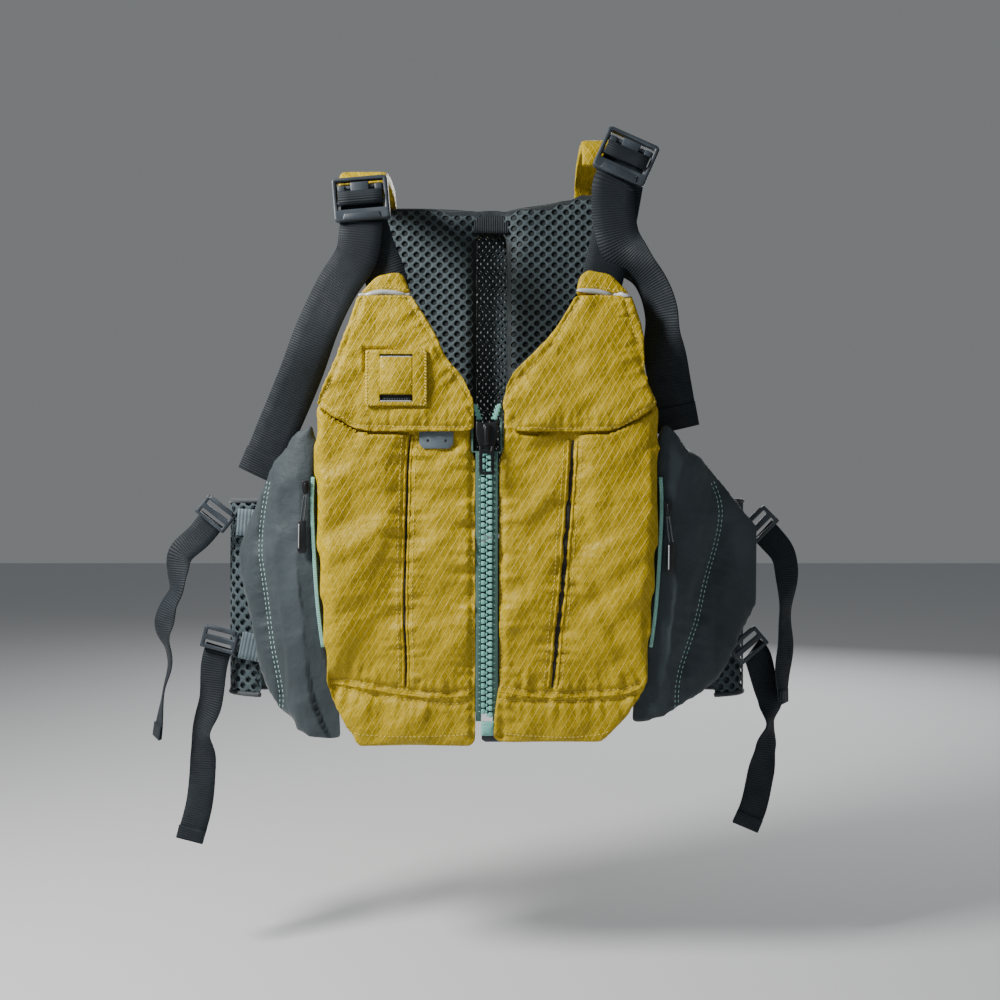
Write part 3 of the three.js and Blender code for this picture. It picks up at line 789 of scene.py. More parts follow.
# ---------- padded fronts ----------
FRONT_PADS, CHEST_PADS, SIDE_PADS, TOPS = {}, {}, {}, {}
ZIP_CLEAR = 8.4
HEM_SEAM, FLAP_FOLD = -447, -152
POCKET_SEAM = [(150, -222), (150, -300), (143, -370), (134, -447), (118, -486)]  # out from the zip, z

# how far forward or back the cloth may lie, in metres
FLAP_FACE, UNDER_PATCH, FLAP_HANG = -0.0615, -0.0577, -0.0532
PAD_UNDER_FLAP, PAD_REAR = -0.0522, -0.0246
GREY_FACE, GREY_AT_SEAM = -0.052, -0.0462
INNER_REAR, OUTER_FRONT, OUTER_REAR = 0.0622, 0.0628, 0.0795


def entered(piece, body, nodes):
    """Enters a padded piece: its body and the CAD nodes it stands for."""
    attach(piece, body)
    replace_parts(piece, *nodes)
    return piece


for side, sign in SIDES:
    sewn = SEWN[side]
    front = f"front_{side}"
    zip_edge = [(ZIP_X + sign * 12.5, -206), (ZIP_X + sign * 12.5, -486)]
    lines = Lines(sewn["slit"], sewn["hem_upper"], sewn["hem_lower"], zip_edge)
    foam = f"front_foam_{side}"
    bm = taken_from([f"front_cover_{side}", f"hem_band_{side}", foam], {foam: (-49, -25.5)})
    overlapped(bm, HEM_SEAM, 0.4)
    for v in bm.verts:
        if (v.co.x - ZIP_X) * sign > 100 and v.co.y < -45:
            v.co.x += sign * (4.6 if side == "left" else 5.0)
        if v.co.z < -485:
            v.co.z -= 5.0 if side == "left" else 2.5
    pad = remeshed(f"{front}_pad", bm, 4.0, YELLOW)
    resmoothed(pad, 4)
    puff(pad, 4.0, 5.0, lines, hold=2.6)
    for v in pad.data.vertices:
        out = (v.co.x * PER_M - ZIP_X) * sign
        clear = ZIP_CLEAR
        if sign > 0 and v.co.z < -0.440:
            closer = min((-0.440 - v.co.z) * 130, 5.6)
            clear -= closer
            out -= closer * min(max((24 - out) / 12, 0), 1)
        v.co.x = (ZIP_X + sign * max(out, clear)) * MM
    calm_edges(pad, 6)
    crumple(pad, 3.4, 40, 3.0 * sign)
    pucker(pad, lines, 2.4, 2.6, 2.6, 17)
    FRONT_PADS[side] = entered(pad, front, [f"front_cover_{side}", f"hem_band_{side}", foam])

    bm = taken_from([f"front_liner_{side}"], {f"front_liner_{side}": (-24.2, -20.6)})
    lining = remeshed(f"{front}_lining", bm, 3.0, LINING)
    baked(rounded(resmoothed(lining, 2)))
    entered(lining, front, [f"front_liner_{side}"])

    # chest panel and its flap: one cloth, joined at the fold
    bm = taken_from([f"chest_panel_{side}", f"chest_flap_{side}"])
    overlapped(bm, FLAP_FOLD, 0.8)
    chest = remeshed(f"chest_{side}", bm, 2.6, YELLOW)
    resmoothed(chest, 3)
    rim = Lines(inset(sewn["flap"], 5.0 * sign), inset(sewn["neck"], 4.0 * sign))
    puff(chest, 3.0, 3.2, rim, hold=3.0)
    crumple(chest, 2.6, 36, 11.0 * sign)
    pucker(chest, rim, 1.1, 2.2, 1.5, 15)
    for v in chest.data.vertices:
        if v.co.z < -0.156:
            v.co.y = min(v.co.y, FLAP_HANG)
        under_patch = side == "left" and abs(v.co.x + 0.075) < 0.0285 and abs(v.co.z + 0.1815) < 0.026
        v.co.y = max(v.co.y, UNDER_PATCH if under_patch else FLAP_FACE)
    flap_skin = Skin(chest)
    for v in pad.data.vertices:
        x, z = v.co.x * PER_M, v.co.z * PER_M
        under_tab = side == "left" and -60 < x < -23 and z > -245
        v.co.y = min(v.co.y, PAD_REAR)
        if z > -206 or under_tab or flap_skin.met(x, z) or flap_skin.met(x, z + 2.2):
            v.co.y = max(v.co.y, PAD_UNDER_FLAP)
    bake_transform(chest)
    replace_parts(chest, f"chest_panel_{side}", f"chest_flap_{side}")
    CHEST_PADS[side] = chest

    bm = taken_from([f"shoulder_top_{side}"])
    top = remeshed(f"shoulder_top_{side}_pad", bm, 2.4, YELLOW)
    baked(rounded(resmoothed(top, 3)))
    crumple(top, 0.6, 18, 5.0 * sign)
    TOPS[side] = entered(top, front, [f"shoulder_top_{side}"])

    # grey padded side
    bm = taken_from([f"side_panel_{side}"])
    for v in bm.verts:
        out = (v.co.x - ZIP_X) * sign
        seam = 150 - max(0.0, -v.co.z - 300) * 0.085
        if out < seam + 8 and v.co.z < -222:
            v.co.x -= sign * (16.0 if v.co.z < -478 else 7.0)
        if out > 175:
            v.co.x += sign * 6.0
    grey = remeshed(f"side_{side}_pad", bm, 4.4, GREY)
    resmoothed(grey, 2)
    mint_line = Lines(sewn["mint"])
    puff(grey, 3.5, 4.0, mint_line, hold=3.0)
    crumple(grey, 3.0, 50, 23.0 * sign)
    pucker(grey, mint_line, 1.6, 2.6, 1.0, 16)
    edge = Lines([(ZIP_X + sign * far, z) for far, z in POCKET_SEAM])
    for v in grey.data.vertices:
        gap, _ = edge.near(v.co.x * PER_M, v.co.z * PER_M)
        v.co.y = max(v.co.y, GREY_AT_SEAM if gap < 17 else GREY_FACE)
    SIDE_PADS[side] = entered(grey, "harness", [f"side_panel_{side}"])


# ---------- back ----------
BACK_X = 5  # the middle of the back
BACK_FOAMS = ["back_foam_left", "back_foam_right"]


def back_pad(name, sheet, levels, finish):
    """One layer of the back: its sheet and the foams squeezed to its levels."""
    bm = taken_from([sheet, *BACK_FOAMS], {foam: levels for foam in BACK_FOAMS})
    for v in bm.verts:
        if -16 < v.co.z < -12:
            v.co.z += 8 + max(0.0, v.co.x - 20) * 0.14 + max(0.0, -v.co.x - 20) * 0.05
    pad = remeshed(name, bm, 4.6, finish)
    resmoothed(pad, 2)
    middle = Lines([(-7, -20), (-7, -480)], [(17, -20), (17, -480)])
    puff(pad, 3.0, 4.0, middle, hold=3.0)
    return entered(pad, "harness", [sheet, *BACK_FOAMS])


BACK_INNER = back_pad("back_inner_pad", "back_liner", (51.5, 61.5), LINING)
BACK_OUTER = back_pad("back_outer_pad", "back_cover", (63.5, 74.5), YELLOW)
for v in BACK_INNER.data.vertices:
    v.co.y = min(v.co.y, INNER_REAR)
for v in BACK_OUTER.data.vertices:
    v.co.y = min(max(v.co.y, OUTER_FRONT), OUTER_REAR)
for pad in (BACK_INNER, BACK_OUTER):
    calm_edges(pad, 24)
rear_skin = RearSkin(BACK_OUTER)
BACK_ROWS = [[(-9, -290), (-9, -476)], [(19, -290), (19, -476)]]


def side_edge(way, heights, step, within=0):
    """Points of the back's left or right edge at these heights, or a distance within it."""
    points = []
    for z in heights:
        reach = next((r for r in range(204, 60, -step) if rear_skin.met(BACK_X + way * r, z)), None)
        if reach:
            points.append((BACK_X + way * (reach - within), z))
    return points


def top_edge():
    """Points of the back's top edge, from left to right."""
    points = []
    for x in range(-112, 126, 8):
        height = next((z for z in range(34, -60, -1) if rear_skin.met(x, z)), None)
        if height is not None:
            points.append((x, height))
    return points


for way in (-1, 1):
    BACK_ROWS.append(side_edge(way, range(-24, -478, -14), 2, 12))
outline = side_edge(-1, range(-484, -8, 8), 1) + top_edge() + side_edge(1, range(2, -486, -8), 1)
edge = [Vector((x, 62.5, z)) for x, z in outline]
for _ in range(3):
    edge = [edge[0]] + [(a + b * 2 + c) / 4 for a, b, c in zip(edge, edge[1:], edge[2:])] + [edge[-1]]
welt("back_edge_binding", edge, 3.4, LINING, "harness", flat=1.3)
foot_left, foot_right = BACK_ROWS[-2][-1], BACK_ROWS[-1][-1]
BACK_ROWS.append([(foot_left[0], -474), (BACK_X, -478), (foot_right[0], -474)])
BACK_ROWS.append([(-104, -62), (-60, -70), (-22, -72)])
BACK_ROWS.append([(32, -72), (70, -70), (112, -60)])
back_lines = Lines(*BACK_ROWS)
crumple(BACK_OUTER, 3.0, 46, 41.0, 1)
pucker(BACK_OUTER, back_lines, 2.0, 2.6, 2.2, 18, 1)
stitches("back_stitches", BACK_ROWS, RearSkin(BACK_OUTER), GOLD_THREAD, "harness")

for side, sign in SIDES:
    bm = taken_from([f"shoulder_pad_{side}"])
    for v in bm.verts:
        v.co.z -= 17 * max(0.0, (v.co.y - 42) / 25) ** 2
    pad = remeshed(f"shoulder_strap_{side}_pad", bm, 2.8, YELLOW)
    baked(rounded(resmoothed(pad, 2)))
    crumple(pad, 0.5, 24, 7.0 * sign)
    entered(pad, "harness", [f"shoulder_pad_{side}"])

# spacer mesh over the inner face of the back
inner_skin = Skin(BACK_INNER)
NET_PITCH = (11.0, 10.0)
for side, x0, x1 in (("left", -172.0, -4.0), ("right", 13.0, 182.0)):
    z0, z1 = -488.0, 12.0

    def on_pad(u, w, x0=x0, x1=x1, z0=z0, z1=z1):
        x, z = x0 + (x1 - x0) * u, z0 + (z1 - z0) * w
        for dx, dz in ((0, 0), (0, 5), (0, -5), (2.5, 0), (-2.5, 0)):
            p, normal = inner_skin.at(x + dx, z + dz, 0, 999)
            if p.y > 100 or normal.y > -0.2:
                return False
        return True

    def lie(u, w, lift, x0=x0, x1=x1, z0=z0, z1=z1):
        p = inner_skin.at(x0 + (x1 - x0) * u, z0 + (z1 - z0) * w, 0.0, 51)[0]
        return p - Vector((0, 0.3 + lift, 0))

    net = lattice(x1 - x0, z1 - z0, NET_PITCH, 0.11, 1.2, lie, on_pad)
    rounded(finish_piece(f"back_mesh_{side}", net, MESH, "harness"))

low, high = node_box("back_centre_mesh")
wide, tall = high.x - low.x + 14, high.z - low.z + 14


def window(u, w, lift):
    return Vector((low.x - 7 + wide * u, 63.2 - lift, low.z + tall * w))


def behind(u, w, lift):
    return window(u, w, lift) + Vector((1.7, 4.5, 1.7))


WINDOW_PITCH = (6.6, 6.6)
net = joined(
    lattice(wide, tall, WINDOW_PITCH, 0.22, 0.8, window),
    lattice(wide, tall - 60, WINDOW_PITCH, 0.24, 0.8, behind),
)
centre = rounded(finish_piece("back_window_mesh", net, MESH, "harness"))
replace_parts(centre, "back_centre_mesh")


# ---------- sewing on the fronts ----------
for side, sign in SIDES:
    sewn = SEWN[side]
    front = f"front_{side}"
    pad_skin = Skin(FRONT_PADS[side])
    chest_skin = Skin(CHEST_PADS[side])
    grey_skin = Skin(SIDE_PADS[side])
    top_skin = Skin(CHEST_PADS[side], TOPS[side])

    # pocket slit: the opening is a dark welt of painted shade between two folded edges
    slit = sewn["slit"]
    wide = sewn["slit_wide"]
    welt(f"slit_{side}_opening", slit, wide, PAINTED_SHADE, front, pad_skin, 0.1, 0.35, taper=0.7)
    for way in (-1, 1):
        edge = inset(slit, way * (wide + 1.0))
        name = f"slit_{side}_fold_{'in' if way < 0 else 'out'}"
        welt(name, edge, 1.25, YELLOW, front, pad_skin, 0.15, 0.7)
    rows = [inset(slit, way * (wide + 5.0)) for way in (-1, 1)]
    stitches(f"slit_{side}_stitches", rows, pad_skin, GOLD_THREAD, front)

    zip_row = [(ZIP_X + sign * 12.5, -246), (ZIP_X + sign * 12.5, -440)]
    hem_rows = [sewn["hem_upper"], sewn["hem_lower"], sewn["hem_foot"], zip_row]
    stitches(f"hem_{side}_stitches", hem_rows, pad_skin, GOLD_THREAD, front)
    hem_fold = [(x, z - 4.2) for x, z in sewn["hem_upper"]]
    welt(f"hem_{side}_fold", hem_fold, 1.0, YELLOW, front, pad_skin, 0.1, 0.6)

    flap_row = [p for p in inset(sewn["flap"], 5.0 * sign) if p[1] < -160]
    chest_row = [p for p in inset(sewn["flap"], 5.0 * sign) if p[1] > -160]
    neck = inset(sewn["neck"], 4.0 * sign)
    flap_rows = [flap_row, [p for p in neck if p[1] < -160]]
    chest_rows = [chest_row, [p for p in neck if p[1] > -150]]
    stitches(f"flap_{side}_stitches", flap_rows, chest_skin, GOLD_THREAD, f"flap_{side}")
    stitches(f"chest_{side}_stitches", chest_rows, chest_skin, GOLD_THREAD, front)
    piping = f"piping_{side}_reflective"
    welt(piping, sewn["piping"], 2.3, SILVER, front, top_skin, 1.0, 0.7, taper=0.6)
    above = [(x, z + 3.8) for x, z in sewn["piping"]]
    below = [(x, z - 3.6) for x, z in sewn["piping"]]
    stitches(f"piping_{side}_stitches", [above, below], top_skin, GOLD_THREAD, front)

    mint = f"side_{side}_mint_stitches"
    stitches(mint, [sewn["mint"]], grey_skin, MINT_THREAD, "harness", 3.0, 1.3, 0.6, 0.15, 3.2)


# ---------- front zip ----------
ZIP_TOP, ZIP_FOOT = -243.5, -474.0
TOOTH_PITCH = 5.5
for side, sign in SIDES:
    front = f"front_{side}"
    root = prism(rectangle(1.5, -2.0, 4.8, 2.0), -52.4, -47.6, 0.55)
    head = prism(rectangle(-0.5, -1.15, 2.2, 1.15), -52.0, -48.0, 0.45)
    tooth = joined(root, head)
    if sign < 0:
        bmesh.ops.rotate(tooth, verts=tooth.verts, cent=(0, -50, 0), matrix=Matrix.Rotation(math.pi, 3, "Z"))
    places = []
    start = ZIP_TOP - (0 if sign < 0 else TOOTH_PITCH / 2)
    count = int((start - ZIP_FOOT - 2) / TOOTH_PITCH)
    for i in range(count):
        places.append(Matrix.Translation((ZIP_X, 0, start - 2 - i * TOOTH_PITCH)))
    for i in range(4):
        lean = Matrix.Rotation(math.radians(sign * -13), 4, "Y")
        places.append(Matrix.Translation((ZIP_X + sign * (4.4 + i * 1.1), 0, -215 + i * 3.2)) @ lean)
    teeth = repeated(f"zip_{side}_teeth", tooth, places, MINT, front)
    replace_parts(teeth, f"zip_teeth_{side}")
    x = lambda u: ZIP_X + sign * u
    run = [
        (x(4.9), ZIP_FOOT), (x(9.6), ZIP_FOOT), (x(9.6), -244), (x(13.2), -244),
        (x(13.2), -206), (x(11.6), -206), (x(11.6), -243), (x(4.9), -243),
    ]
    tape = finish_piece(f"zip_{side}_tape", prism(run, -50.7, -49.5, 0.3, 1), TAPE, front)
    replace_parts(tape, f"zip_tape_{side}")
    dots = []
    for i in range(count):
        at = (x(6.3), -50.8, start - 2 - i * TOOTH_PITCH)
        dots.append(Matrix.Translation(at) @ Matrix.Diagonal((1.5, 0.5, 0.8, 1)))
    repeated(f"zip_{side}_sewing", stitch(), dots, MINT_THREAD, front)

low, high = node_box("zip_box")
box_part = joined(
    prism(rectangle(low.x, low.z, high.x, high.z), low.y + 1, high.y, 1.0),
    prism(rectangle(low.x + 1.5, low.z + 2, high.x - 1.5, high.z - 3), low.y, low.y + 2, 0.6),
)
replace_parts(finish_piece("zip_box_moulded", box_part, MINT, "front_right"), "zip_box")

plate_out = [
    (-9.3, 12.4), (-9.3, 1.0), (-7.6, -6.0), (-5.3, -12.4), (5.3, -12.4),
    (7.6, -6.0), (9.3, 1.0), (9.3, 12.4), (4.0, 11.2), (-4.0, 11.2),
]
SLIDER_Z = -230


def seat(points, grow=1.0):
    return [(ZIP_X + a * grow, SLIDER_Z + b) for a, b in points]


slider = joined(
    prism(seat(plate_out), -57.2, -53.4, 1.3, 3),
    prism(seat(plate_out, 0.7), -45.2, -43.2, 0.6, 2),
    prism(seat(rectangle(-0.5, 2, 0.5, 11)), -54.2, -44.6, 0.1, 1),
    prism(seat(rectangle(-2.2, -8.2, 2.2, 8.2)), -61.2, -56.4, 1.5, 3),
    prism(seat([(-3.6, 4.5), (3.6, 4.5), (2.6, 9.5), (-2.6, 9.5)]), -59.4, -56.4, 0.9, 2),
)
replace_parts(finish_piece("zip_slider", slider, BLACK, "slider"), "main_slider")
pull = window_plate([-5, -2.0, 5.0, 8], [-263.5, -260.4, -245.6, -242.8, -239.2], {(1, 1), (1, 3)}, 2.4, 0.7, 2)
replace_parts(finish_piece("zip_pull", moved(pull, None, (0, -59.6, 0)), BLACK, "pull"), "main_pull")


# ---------- side pocket zips ----------
COIL = webbing_cloth("mint_coil", (0.17, 0.42, 0.37), (0.36, 0.68, 0.6), 1.5)
for side, sign in SIDES:
    x = lambda u: ZIP_X + sign * u
    run = [(x(149), -47.9, -265), (x(149.6), -47.9, -300), (x(145.5), -47.9, -370), (x(140.5), -47.9, -411)]
    coil = strap(f"pocket_zip_{side}_coil", run, 3.2, 1.3, COIL, "harness", step=3)
    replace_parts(coil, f"pocket_zip_{side}")
    low, high = node_box(f"pocket_slider_{side}")
    middle = (low + high) / 2
    nose = [(-3.4, 5.8), (3.4, 5.8), (2.9, -2), (1.9, -5.8), (-1.9, -5.8), (-2.9, -2)]
    put = lambda points: [(middle.x + a, middle.z + b) for a, b in points]
    slider = joined(
        prism(put(nose), low.y + 1.2, high.y, 0.7, 2),
        prism(put(rectangle(-1.1, -3.6, 1.1, 4)), low.y, low.y + 2, 0.7),
    )
    made = finish_piece(f"pocket_slider_{side}_moulded", slider, BLACK, f"pocket_slider_{side}")
    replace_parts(made, f"pocket_slider_{side}")
    low, high = node_box(f"pocket_pull_{side}")
    y = (low.y + high.y) / 2
    top, foot = high.z, low.z
    hang = middle.x
    out = sign * 3.0
    body = f"pocket_pull_{side}"
    for k in (-1, 1):
        cord = [
            (hang + k * 0.9, y, top - 0.6), (hang + k * 1.3 + out * 0.3, y, top - 9),
            (hang + k * 1.4 + out * 0.8, y, top - 20), (hang + out + k, y, top - 25),
        ]
        welt(f"pocket_cord_{side}_{'a' if k < 0 else 'b'}", cord, 0.65, DARK_THREAD, body)
    tab = [
        (hang + out - 3.4, top - 22), (hang + out + 3.4, top - 22), (hang + out + 3.9, foot + 3),
        (hang + out + 2.6, foot), (hang + out - 2.6, foot), (hang + out - 3.9, foot + 3),
    ]
    made = finish_piece(f"pocket_pull_{side}_tab", prism(tab, y - 0.85, y + 0.85, 0.4, 2), BLACK, body)
    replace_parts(made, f"pocket_pull_{side}")
    line = [(hang + out - 2.4, y - 0.95, top - 25), (hang + out - 2.7, y - 0.95, foot + 4)]
    welt(f"pocket_pull_{side}_stripe", line, 0.55, SILVER, body)


# ---------- lash patch and tabs ----------
PX, PZ = -75.0, -181.5
frame_xs = [PX - 26, PX - 14, PX + 14, PX + 26]
frame_zs = [PZ - 23.5, PZ - 20, PZ - 14, PZ + 18, PZ + 20, PZ + 23.5]
patch_frame = window_plate(frame_xs, frame_zs, {(1, 1), (1, 3)}, 1.9, 0.6, 2)
for v in patch_frame.verts:
    slope = min(max((26 - abs(v.co.x - PX)) / 11, 0), 1)
    v.co.y -= 0.7 * slope * slope * (3 - 2 * slope)
centre_panel = prism(rectangle(PX - 13.6, PZ - 13.6, PX + 13.6, PZ + 17.6), -61.2, -59.0, 0.8)
patch = joined(moved(patch_frame, None, (0, -59.1, 0)), centre_panel)
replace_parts(finish_piece("lash_patch_cloth", patch, YELLOW, "flap_left"), "lash_patch")
# near-black sheet behind the patch: painted shade seen through its slots
shade_sheet = prism(rectangle(PX - 26, PZ - 23.5, PX + 26, PZ + 23.5), -60.1, -58.2, 0)
for v in finish_piece("patch_slot_shade", shade_sheet, PAINTED_SHADE, "flap_left").data.vertices:
    v.co.x = PX * MM + (v.co.x - PX * MM) * 0.6
    v.co.y = max(v.co.y, -0.0585)
    v.co.z = PZ * MM + (v.co.z - PZ * MM) * 0.9
square = rectangle(PX - 25, PZ - 22.5, PX + 25, PZ + 22.5)
square.append(square[0])
rope = []
for (xa, za), (xb, zb) in zip(square, square[1:]):
    count = round(math.hypot(xb - xa, zb - za) / 2.6)
    for i in range(count):
        t = (i + 0.5) / count
        slant = Matrix.Rotation(math.radians(35) + math.atan2(xb - xa, zb - za), 4, "Y")
        where = (xa + (xb - xa) * t, -60.2, za + (zb - za) * t)
        rope.append(Matrix.Translation(where) @ slant @ Matrix.Diagonal((2.9, 0.8, 1.0, 1)))
repeated("patch_rope_stitch", stitch(), rope, GOLD_THREAD, "flap_left")
for name, z in (("upper", PZ + 19), ("lower", PZ - 17)):
    tall = 1.0 if name == "upper" else 2.6
    edge = [(PX - 13.4, -60.3, z - tall), (PX + 13.4, -60.3, z - tall)]
    welt(f"patch_slot_{name}_rim", edge, 0.5, SILVER, "flap_left")
slot_run = [(PX - 12.5, -58.9, PZ - 18.2), (PX + 12.5, -58.9, PZ - 18.2)]
strap("patch_slot_webbing", slot_run, 2.8, 0.6, WEBBING, "flap_left", step=3)

low, high = node_box("lash_tab")
tab = [
    (low.x, high.z), (low.x, low.z + 4), (low.x + 3.5, low.z),
    (high.x - 3.5, low.z), (high.x, low.z + 4), (high.x, high.z),
]
tab = prism(tab, low.y, high.y, 0.35)
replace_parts(finish_piece("lash_tab_moulded", tab, PLASTIC_PALE, "front_left"), "lash_tab")
# the two holes are flat dark discs of painted shade on the face of the tab
for i, x in enumerate((low.x + 7, high.x - 7)):
    turns = [a * math.pi / 6 for a in range(12)]
    dot = [(x + 1.3 * math.cos(a), low.z + 7 + 1.3 * math.sin(a)) for a in turns]
    finish_piece(f"lash_tab_hole_shade_{i + 1}", prism(dot, low.y - 0.06, low.y + 0.3, 0, 1), PAINTED_SHADE, "front_left")
low, high = node_box("hem_tab")
tab = [
    (low.x, high.z - 7), (low.x, low.z + 2), (low.x + 3, low.z), (high.x - 4, low.z),
    (high.x, low.z + 3), (high.x, high.z), (low.x + 18, high.z), (low.x + 16, high.z - 7),
]
tab = prism(tab, low.y, high.y, 0.35)
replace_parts(finish_piece("hem_tab_moulded", tab, PLASTIC, "front_right"), "hem_tab")


# ---------- shoulder buckles ----------
def shoulder_buckle(side, x, z, turn):
    rim = window_plate([-24, -20.2, 20.2, 24], [-19, -8.5, -4.2, 15.6, 19], {(1, 1), (1, 2)}, 8.2, 1.5, 3)
    for v in rim.verts:
        if v.co.z < -8.5:
            v.co.y -= 1.2 * ((-8.5 - v.co.z) / 10.5) ** 2
        round_off = max(0.0, abs(v.co.x) - 19) / 5
        if abs(v.co.z) > 15:
            v.co.z -= math.copysign(2.0 * round_off**2, v.co.z)
    bar = prism(rectangle(-21, -4.4, 21, -1.4), -3.4, 2.6, 1.0)
    top_bar = prism(rectangle(-21, 8.6, 21, 12.0), -2.6, 2.6, 1.0)
    panel = prism(rectangle(-7.8, 1.6, 7.8, 14.2), -4.3, -2.2, 0.7)
    nubs = [prism(rectangle(a - 3.2, 5.0, a + 3.2, 12.0), -3.8, -1.0, 0.8) for a in (-16, 16)]
    lip = prism([(-17, -18.2), (17, -18.2), (15, -12.2), (-15, -12.2)], -5.6, -3.6, 0.9, 2)
    frame_part = joined(rim, bar, top_bar, panel, lip, *nubs)
    turned = Matrix.Rotation(math.radians(-turn), 3, "Y")
    moved(frame_part, turned, (x, -45.4, z))
    made = finish_piece(f"shoulder_buckle_{side}_moulded", frame_part, PLASTIC, f"shoulder_buckle_{side}")
    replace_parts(made, f"shoulder_buckle_{side}")
    wrap = grid_strip(12.0, 38.5, 2.0, 2.0)
    for v in wrap.verts:
        a, b, c = v.co
        v.co = Vector((b, -3.0 - c - 1.4 * math.sin(min(max(a / 12, 0), 1) * math.pi), -4.6 + a))
    under = grid_strip(29.0, 37.0, 1.2, 2.0)
    for v in under.verts:
        a, b, c = v.co
        v.co = Vector((b, 3.2 + c * 0.5, -15.6 + a))
    wrap = joined(wrap, under)
    bmesh.ops.recalc_face_normals(wrap, faces=wrap.faces)
    moved(wrap, turned, (x, -45.6, z))
    finish_piece(f"buckle_{side}_webbing_loop", wrap, WEBBING, f"shoulder_buckle_{side}")


shoulder_buckle("left", -106.6, -26.3, 5)
shoulder_buckle("right", 121.0, 9.7, -24)


# ---------- shoulder webbing ----------
webs = {
    "left": [(-82.5, -39.6, -109), (-87, -39.8, -90), (-97, -40, -64), (-103.5, -40.2, -41)],
    "right": [(97.5, -39.6, -109), (104, -39.8, -82), (113, -40, -42), (119.5, -40.2, -6)],
}
for side, path in webs.items():
    web = strap(f"shoulder_web_{side}_woven", path, 36, 1.7, WEBBING, None, cup=0.8)
    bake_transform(web)
    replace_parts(web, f"shoulder_web_{side}")

tails = {
    "left": (
        [
            (-106.5, -45.2, -44), (-107, -45.2, -54), (-111, -45.4, -76), (-128, -44, -102),
            (-145, -38.5, -135), (-162, -30, -176), (-184, -19.5, -223), (-203, -11.5, -263),
        ],
        [(0, 0), (0.3, 6), (0.6, -6), (1, 4)],
    ),
    "right": (
        [
            (113, -45.2, -8.8), (110, -46.0, -18), (111, -46.0, -44), (118, -45.6, -68), (140, -45, -94),
            (151, -43, -120), (154, -38, -148), (160, -31, -178), (170, -21, -222),
        ],
        [(0, 0), (0.22, 4), (0.4, 58), (0.58, 50), (0.82, 6), (1, 0)],
    ),
}
for side, (path, turns) in tails.items():
    body = f"shoulder_tail_{side}"
    tail = strap(f"{body}_woven", path, 37, 1.5, WEBBING, body, turns=turns, cup=0.9, sway=1.2)
    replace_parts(tail, body)
    (xa, ya, za), (xb, yb, zb) = path[-2], path[-1]
    end = Vector((xb - xa, yb - ya, zb - za)).normalized()
    tip = Vector((xb, yb, zb))
    hem = [tip - end * 21 + Vector((0, -1.5, 0)), tip + end * 0.5 + Vector((0, -1.5, 0))]
    strap(f"{body}_hem", [tuple(p) for p in hem], 37.4, 1.4, WEBBING, body, cup=0.7)


# ---------- side adjusters ----------
straps = {
    ("left", "upper"): (
        [
            (250, -302), (262, -317), (279, -333), (282, -350), (283, -367), (290, -382),
            (294, -403), (289, -422), (288, -436), (293, -458), (298, -499),
        ],
        [(0, 0), (0.2, 12), (0.38, 48), (0.5, 30), (0.62, 62), (0.8, 74), (1, 60)],
    ),
    ("left", "lower"): (
        [
            (244, -417), (249, -436), (252, -468), (259, -488),
            (261, -500), (259, -522), (262, -559), (271, -594),
        ],
        [(0, 0), (0.3, 20), (0.45, 38), (0.6, 8), (1, 0)],
    ),
    ("right", "upper"): (
        [
            (250, -312), (258, -320), (269, -335), (272, -358),
            (270, -394), (270, -417), (267, -442), (267, -468),
        ],
        [(0, 0), (0.25, -20), (0.5, -52), (0.75, -40), (1, -60)],
    ),
    ("right", "lower"): (
        [
            (240, -421), (246, -428), (253, -454), (257, -468), (257, -488),
            (254, -504), (248, -536), (242, -563), (234, -582),
        ],
        [(0, 0), (0.3, -18), (0.42, -62), (0.55, -30), (0.7, -4), (1, 0)],
    ),
}
elastics = {
    ("left", "upper"): [(206, -306), (226.5, -304.5)],
    ("left", "lower"): [(201, -420), (223.5, -415.5)],
    ("right", "upper"): [(217, -312), (226.5, -307)],
    ("right", "lower"): [(205, -419), (216.5, -414)],
}
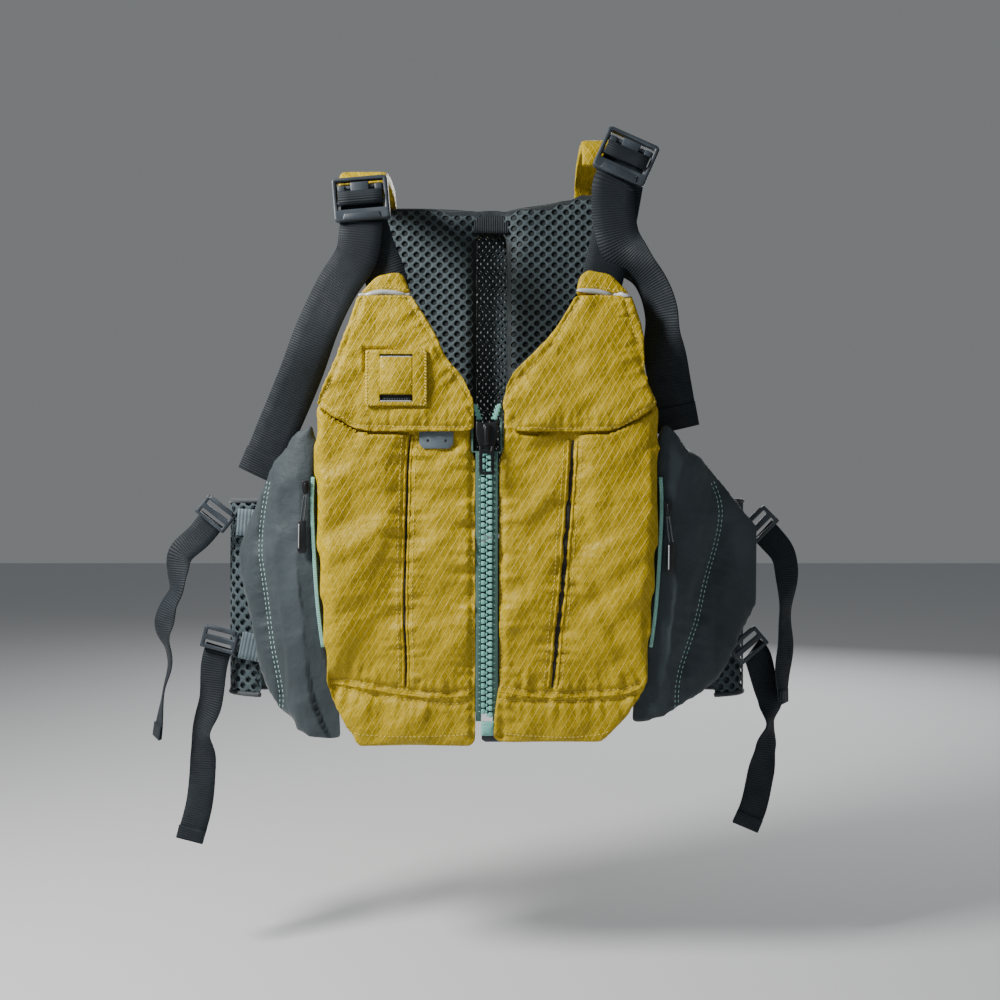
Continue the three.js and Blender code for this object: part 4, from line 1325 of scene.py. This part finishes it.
for (side, level), (path, turns) in straps.items():
    sign = -1 if side == "left" else 1
    low, high = node_box(f"ladder_lock_{level}_{side}")
    x = lambda u: ZIP_X + sign * u
    (u0, z0), (u1, z1) = path[0], path[1]
    along = Vector((x(u1) - x(u0), 0, z1 - z0)).normalized()
    lock_body = f"ladder_lock_{level}_{side}"
    lock = window_plate([-16, -12.9, 12.9, 16], [-10, -6.8, -2.4, 2.4, 6.9, 10], {(1, 1), (1, 3)}, 4.6, 0.9, 2)
    grip = prism([(-14, 7.6), (14, 7.6), (12, 11.4), (-12, 11.4)], -3.4, -1.2, 0.7, 2)
    lock = joined(lock, grip)
    turned = Matrix.Rotation(math.atan2(-along.x, -along.z), 3, "Y")
    moved(lock, turned, ((low.x + high.x) / 2, 3.9, (low.z + high.z) / 2))
    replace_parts(finish_piece(f"{lock_body}_moulded", lock, PLASTIC, lock_body), lock_body)
    strap_body = f"side_strap_{level}_{side}"
    run = []
    for i, (u, z) in enumerate(path):
        lean = -7 * min(max((-330 - z) / 170, 0), 1) if level == "upper" else 0
        run.append((x(u), 8.0 + lean, z))
    web = strap(f"{strap_body}_woven", run, 24.6, 1.4, WEBBING, strap_body, turns=turns, cup=0.5, sway=0.8)
    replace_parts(web, strap_body)
    a, b = Vector(run[-2]), Vector(run[-1])
    way = (b - a).normalized()
    tilt = math.radians(turns[-1][1])
    out = Matrix.Rotation(tilt, 3, way) @ Vector((0, -1, 0))
    hem = [tuple(b - way * 12 + out * 1.4), tuple(b + way * 0.5 + out * 1.4)]
    held = [(0, turns[-1][1]), (1, turns[-1][1])]
    strap(f"{strap_body}_hem", hem, 25, 1.3, WEBBING, strap_body, turns=held)
    node = f"elastic_{level}_{side}"
    (ua, za), (ub, zb) = elastics[(side, level)]
    y = 1.9
    tape = strap(f"{node}_ribbed", [(x(ua), y, za), (x(ub), y, zb)], 24.5, 1.8, ELASTIC, "harness", step=2)
    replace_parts(tape, node)


# ---------- side mesh ----------
for side, sign, reach in (("left", -1, 243), ("right", 1, 241)):
    wall_path = [(206, 5.2), (213, 7), (227, 14), (reach - 6, 24), (reach - 8, 36), (205, 44), (156 + sign * 5, 48)]
    line = even([(ZIP_X + sign * u, y, 0) for u, y in wall_path], 2)
    run = sum((b - a).length for a, b in zip(line, line[1:]))

    def wall(u, w, lift, line=line, sign=sign):
        at = u * (len(line) - 1)
        i = min(int(at), len(line) - 2)
        p = line[i].lerp(line[i + 1], at - i)
        ahead = (line[i + 1] - line[i]).normalized()
        return Vector((p.x, p.y, -461 + w * 175)) + Vector((ahead.y, -ahead.x, 0)) * (lift * sign)

    net = lattice(run, 175, (12.5, 11.5), 0.14, 1.3, wall)
    net = joined(net, sheet(26, 18, lambda u, w: wall(u, w, -1.6)))
    made = rounded(finish_piece(f"side_mesh_{side}_net", net, MESH, "harness"))
    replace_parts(made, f"side_mesh_{side}")
    for name, z in (("upper", -285.5), ("lower", -461.5)):
        rim = [(p.x, p.y, z) for p in line[::3]]
        welt(f"side_mesh_{side}_{name}_binding", rim, 2.2, DARK_THREAD, "harness")

low, high = node_box("back_top_webbing")
z = (low.z + high.z) / 2
run = [(low.x, 48.6, z), (high.x, 48.6, z)]
loop = strap("back_top_webbing_woven", run, 16, 1.5, WEBBING, "harness")
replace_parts(loop, "back_top_webbing")


# ---------- floor, sky and lights ----------
FLOOR_Z = -0.70
floor_mesh = bpy.data.meshes.new("floor")
bm = bmesh.new()
bmesh.ops.create_grid(bm, x_segments=1, y_segments=1, size=6)
bmesh.ops.translate(bm, vec=(0, 0, FLOOR_Z), verts=bm.verts)
bm.to_mesh(floor_mesh)
bm.free()
floor = bpy.data.objects.new("floor", floor_mesh)
bpy.context.scene.collection.objects.link(floor)
floor_finish = Finish("floor_paint", 0.9)
floor_finish.shader.inputs["Base Color"].default_value = (0.62, 0.63, 0.64, 1)
floor_mesh.materials.append(floor_finish.made)

sky = bpy.data.worlds.new("sky")
sky.use_nodes = True
sky.node_tree.nodes["Background"].inputs["Color"].default_value = (0.80, 0.83, 0.86, 1)
sky.node_tree.nodes["Background"].inputs["Strength"].default_value = 0.23
bpy.context.scene.world = sky


def lamp(name, place, aim, size, power, tint=(1, 1, 1)):
    data = bpy.data.lights.new(name, "AREA")
    data.shape = "DISK"
    data.size = size
    data.energy = power
    data.color = tint
    made = bpy.data.objects.new(name, data)
    made.location = place
    made.rotation_euler = (Vector(aim) - Vector(place)).to_track_quat("-Z", "Y").to_euler()
    bpy.context.scene.collection.objects.link(made)


lamp("key", (-0.8, -0.43, 0.36), (-0.04, 0, -0.26), 0.3, 25, (1, 0.98, 0.95))
lamp("fill", (1.2, -1.6, 0.1), (0, 0, -0.3), 1.2, 0.8)
lamp("back", (0.6, 1.6, 0.5), (0, 0, -0.3), 1.2, 22)
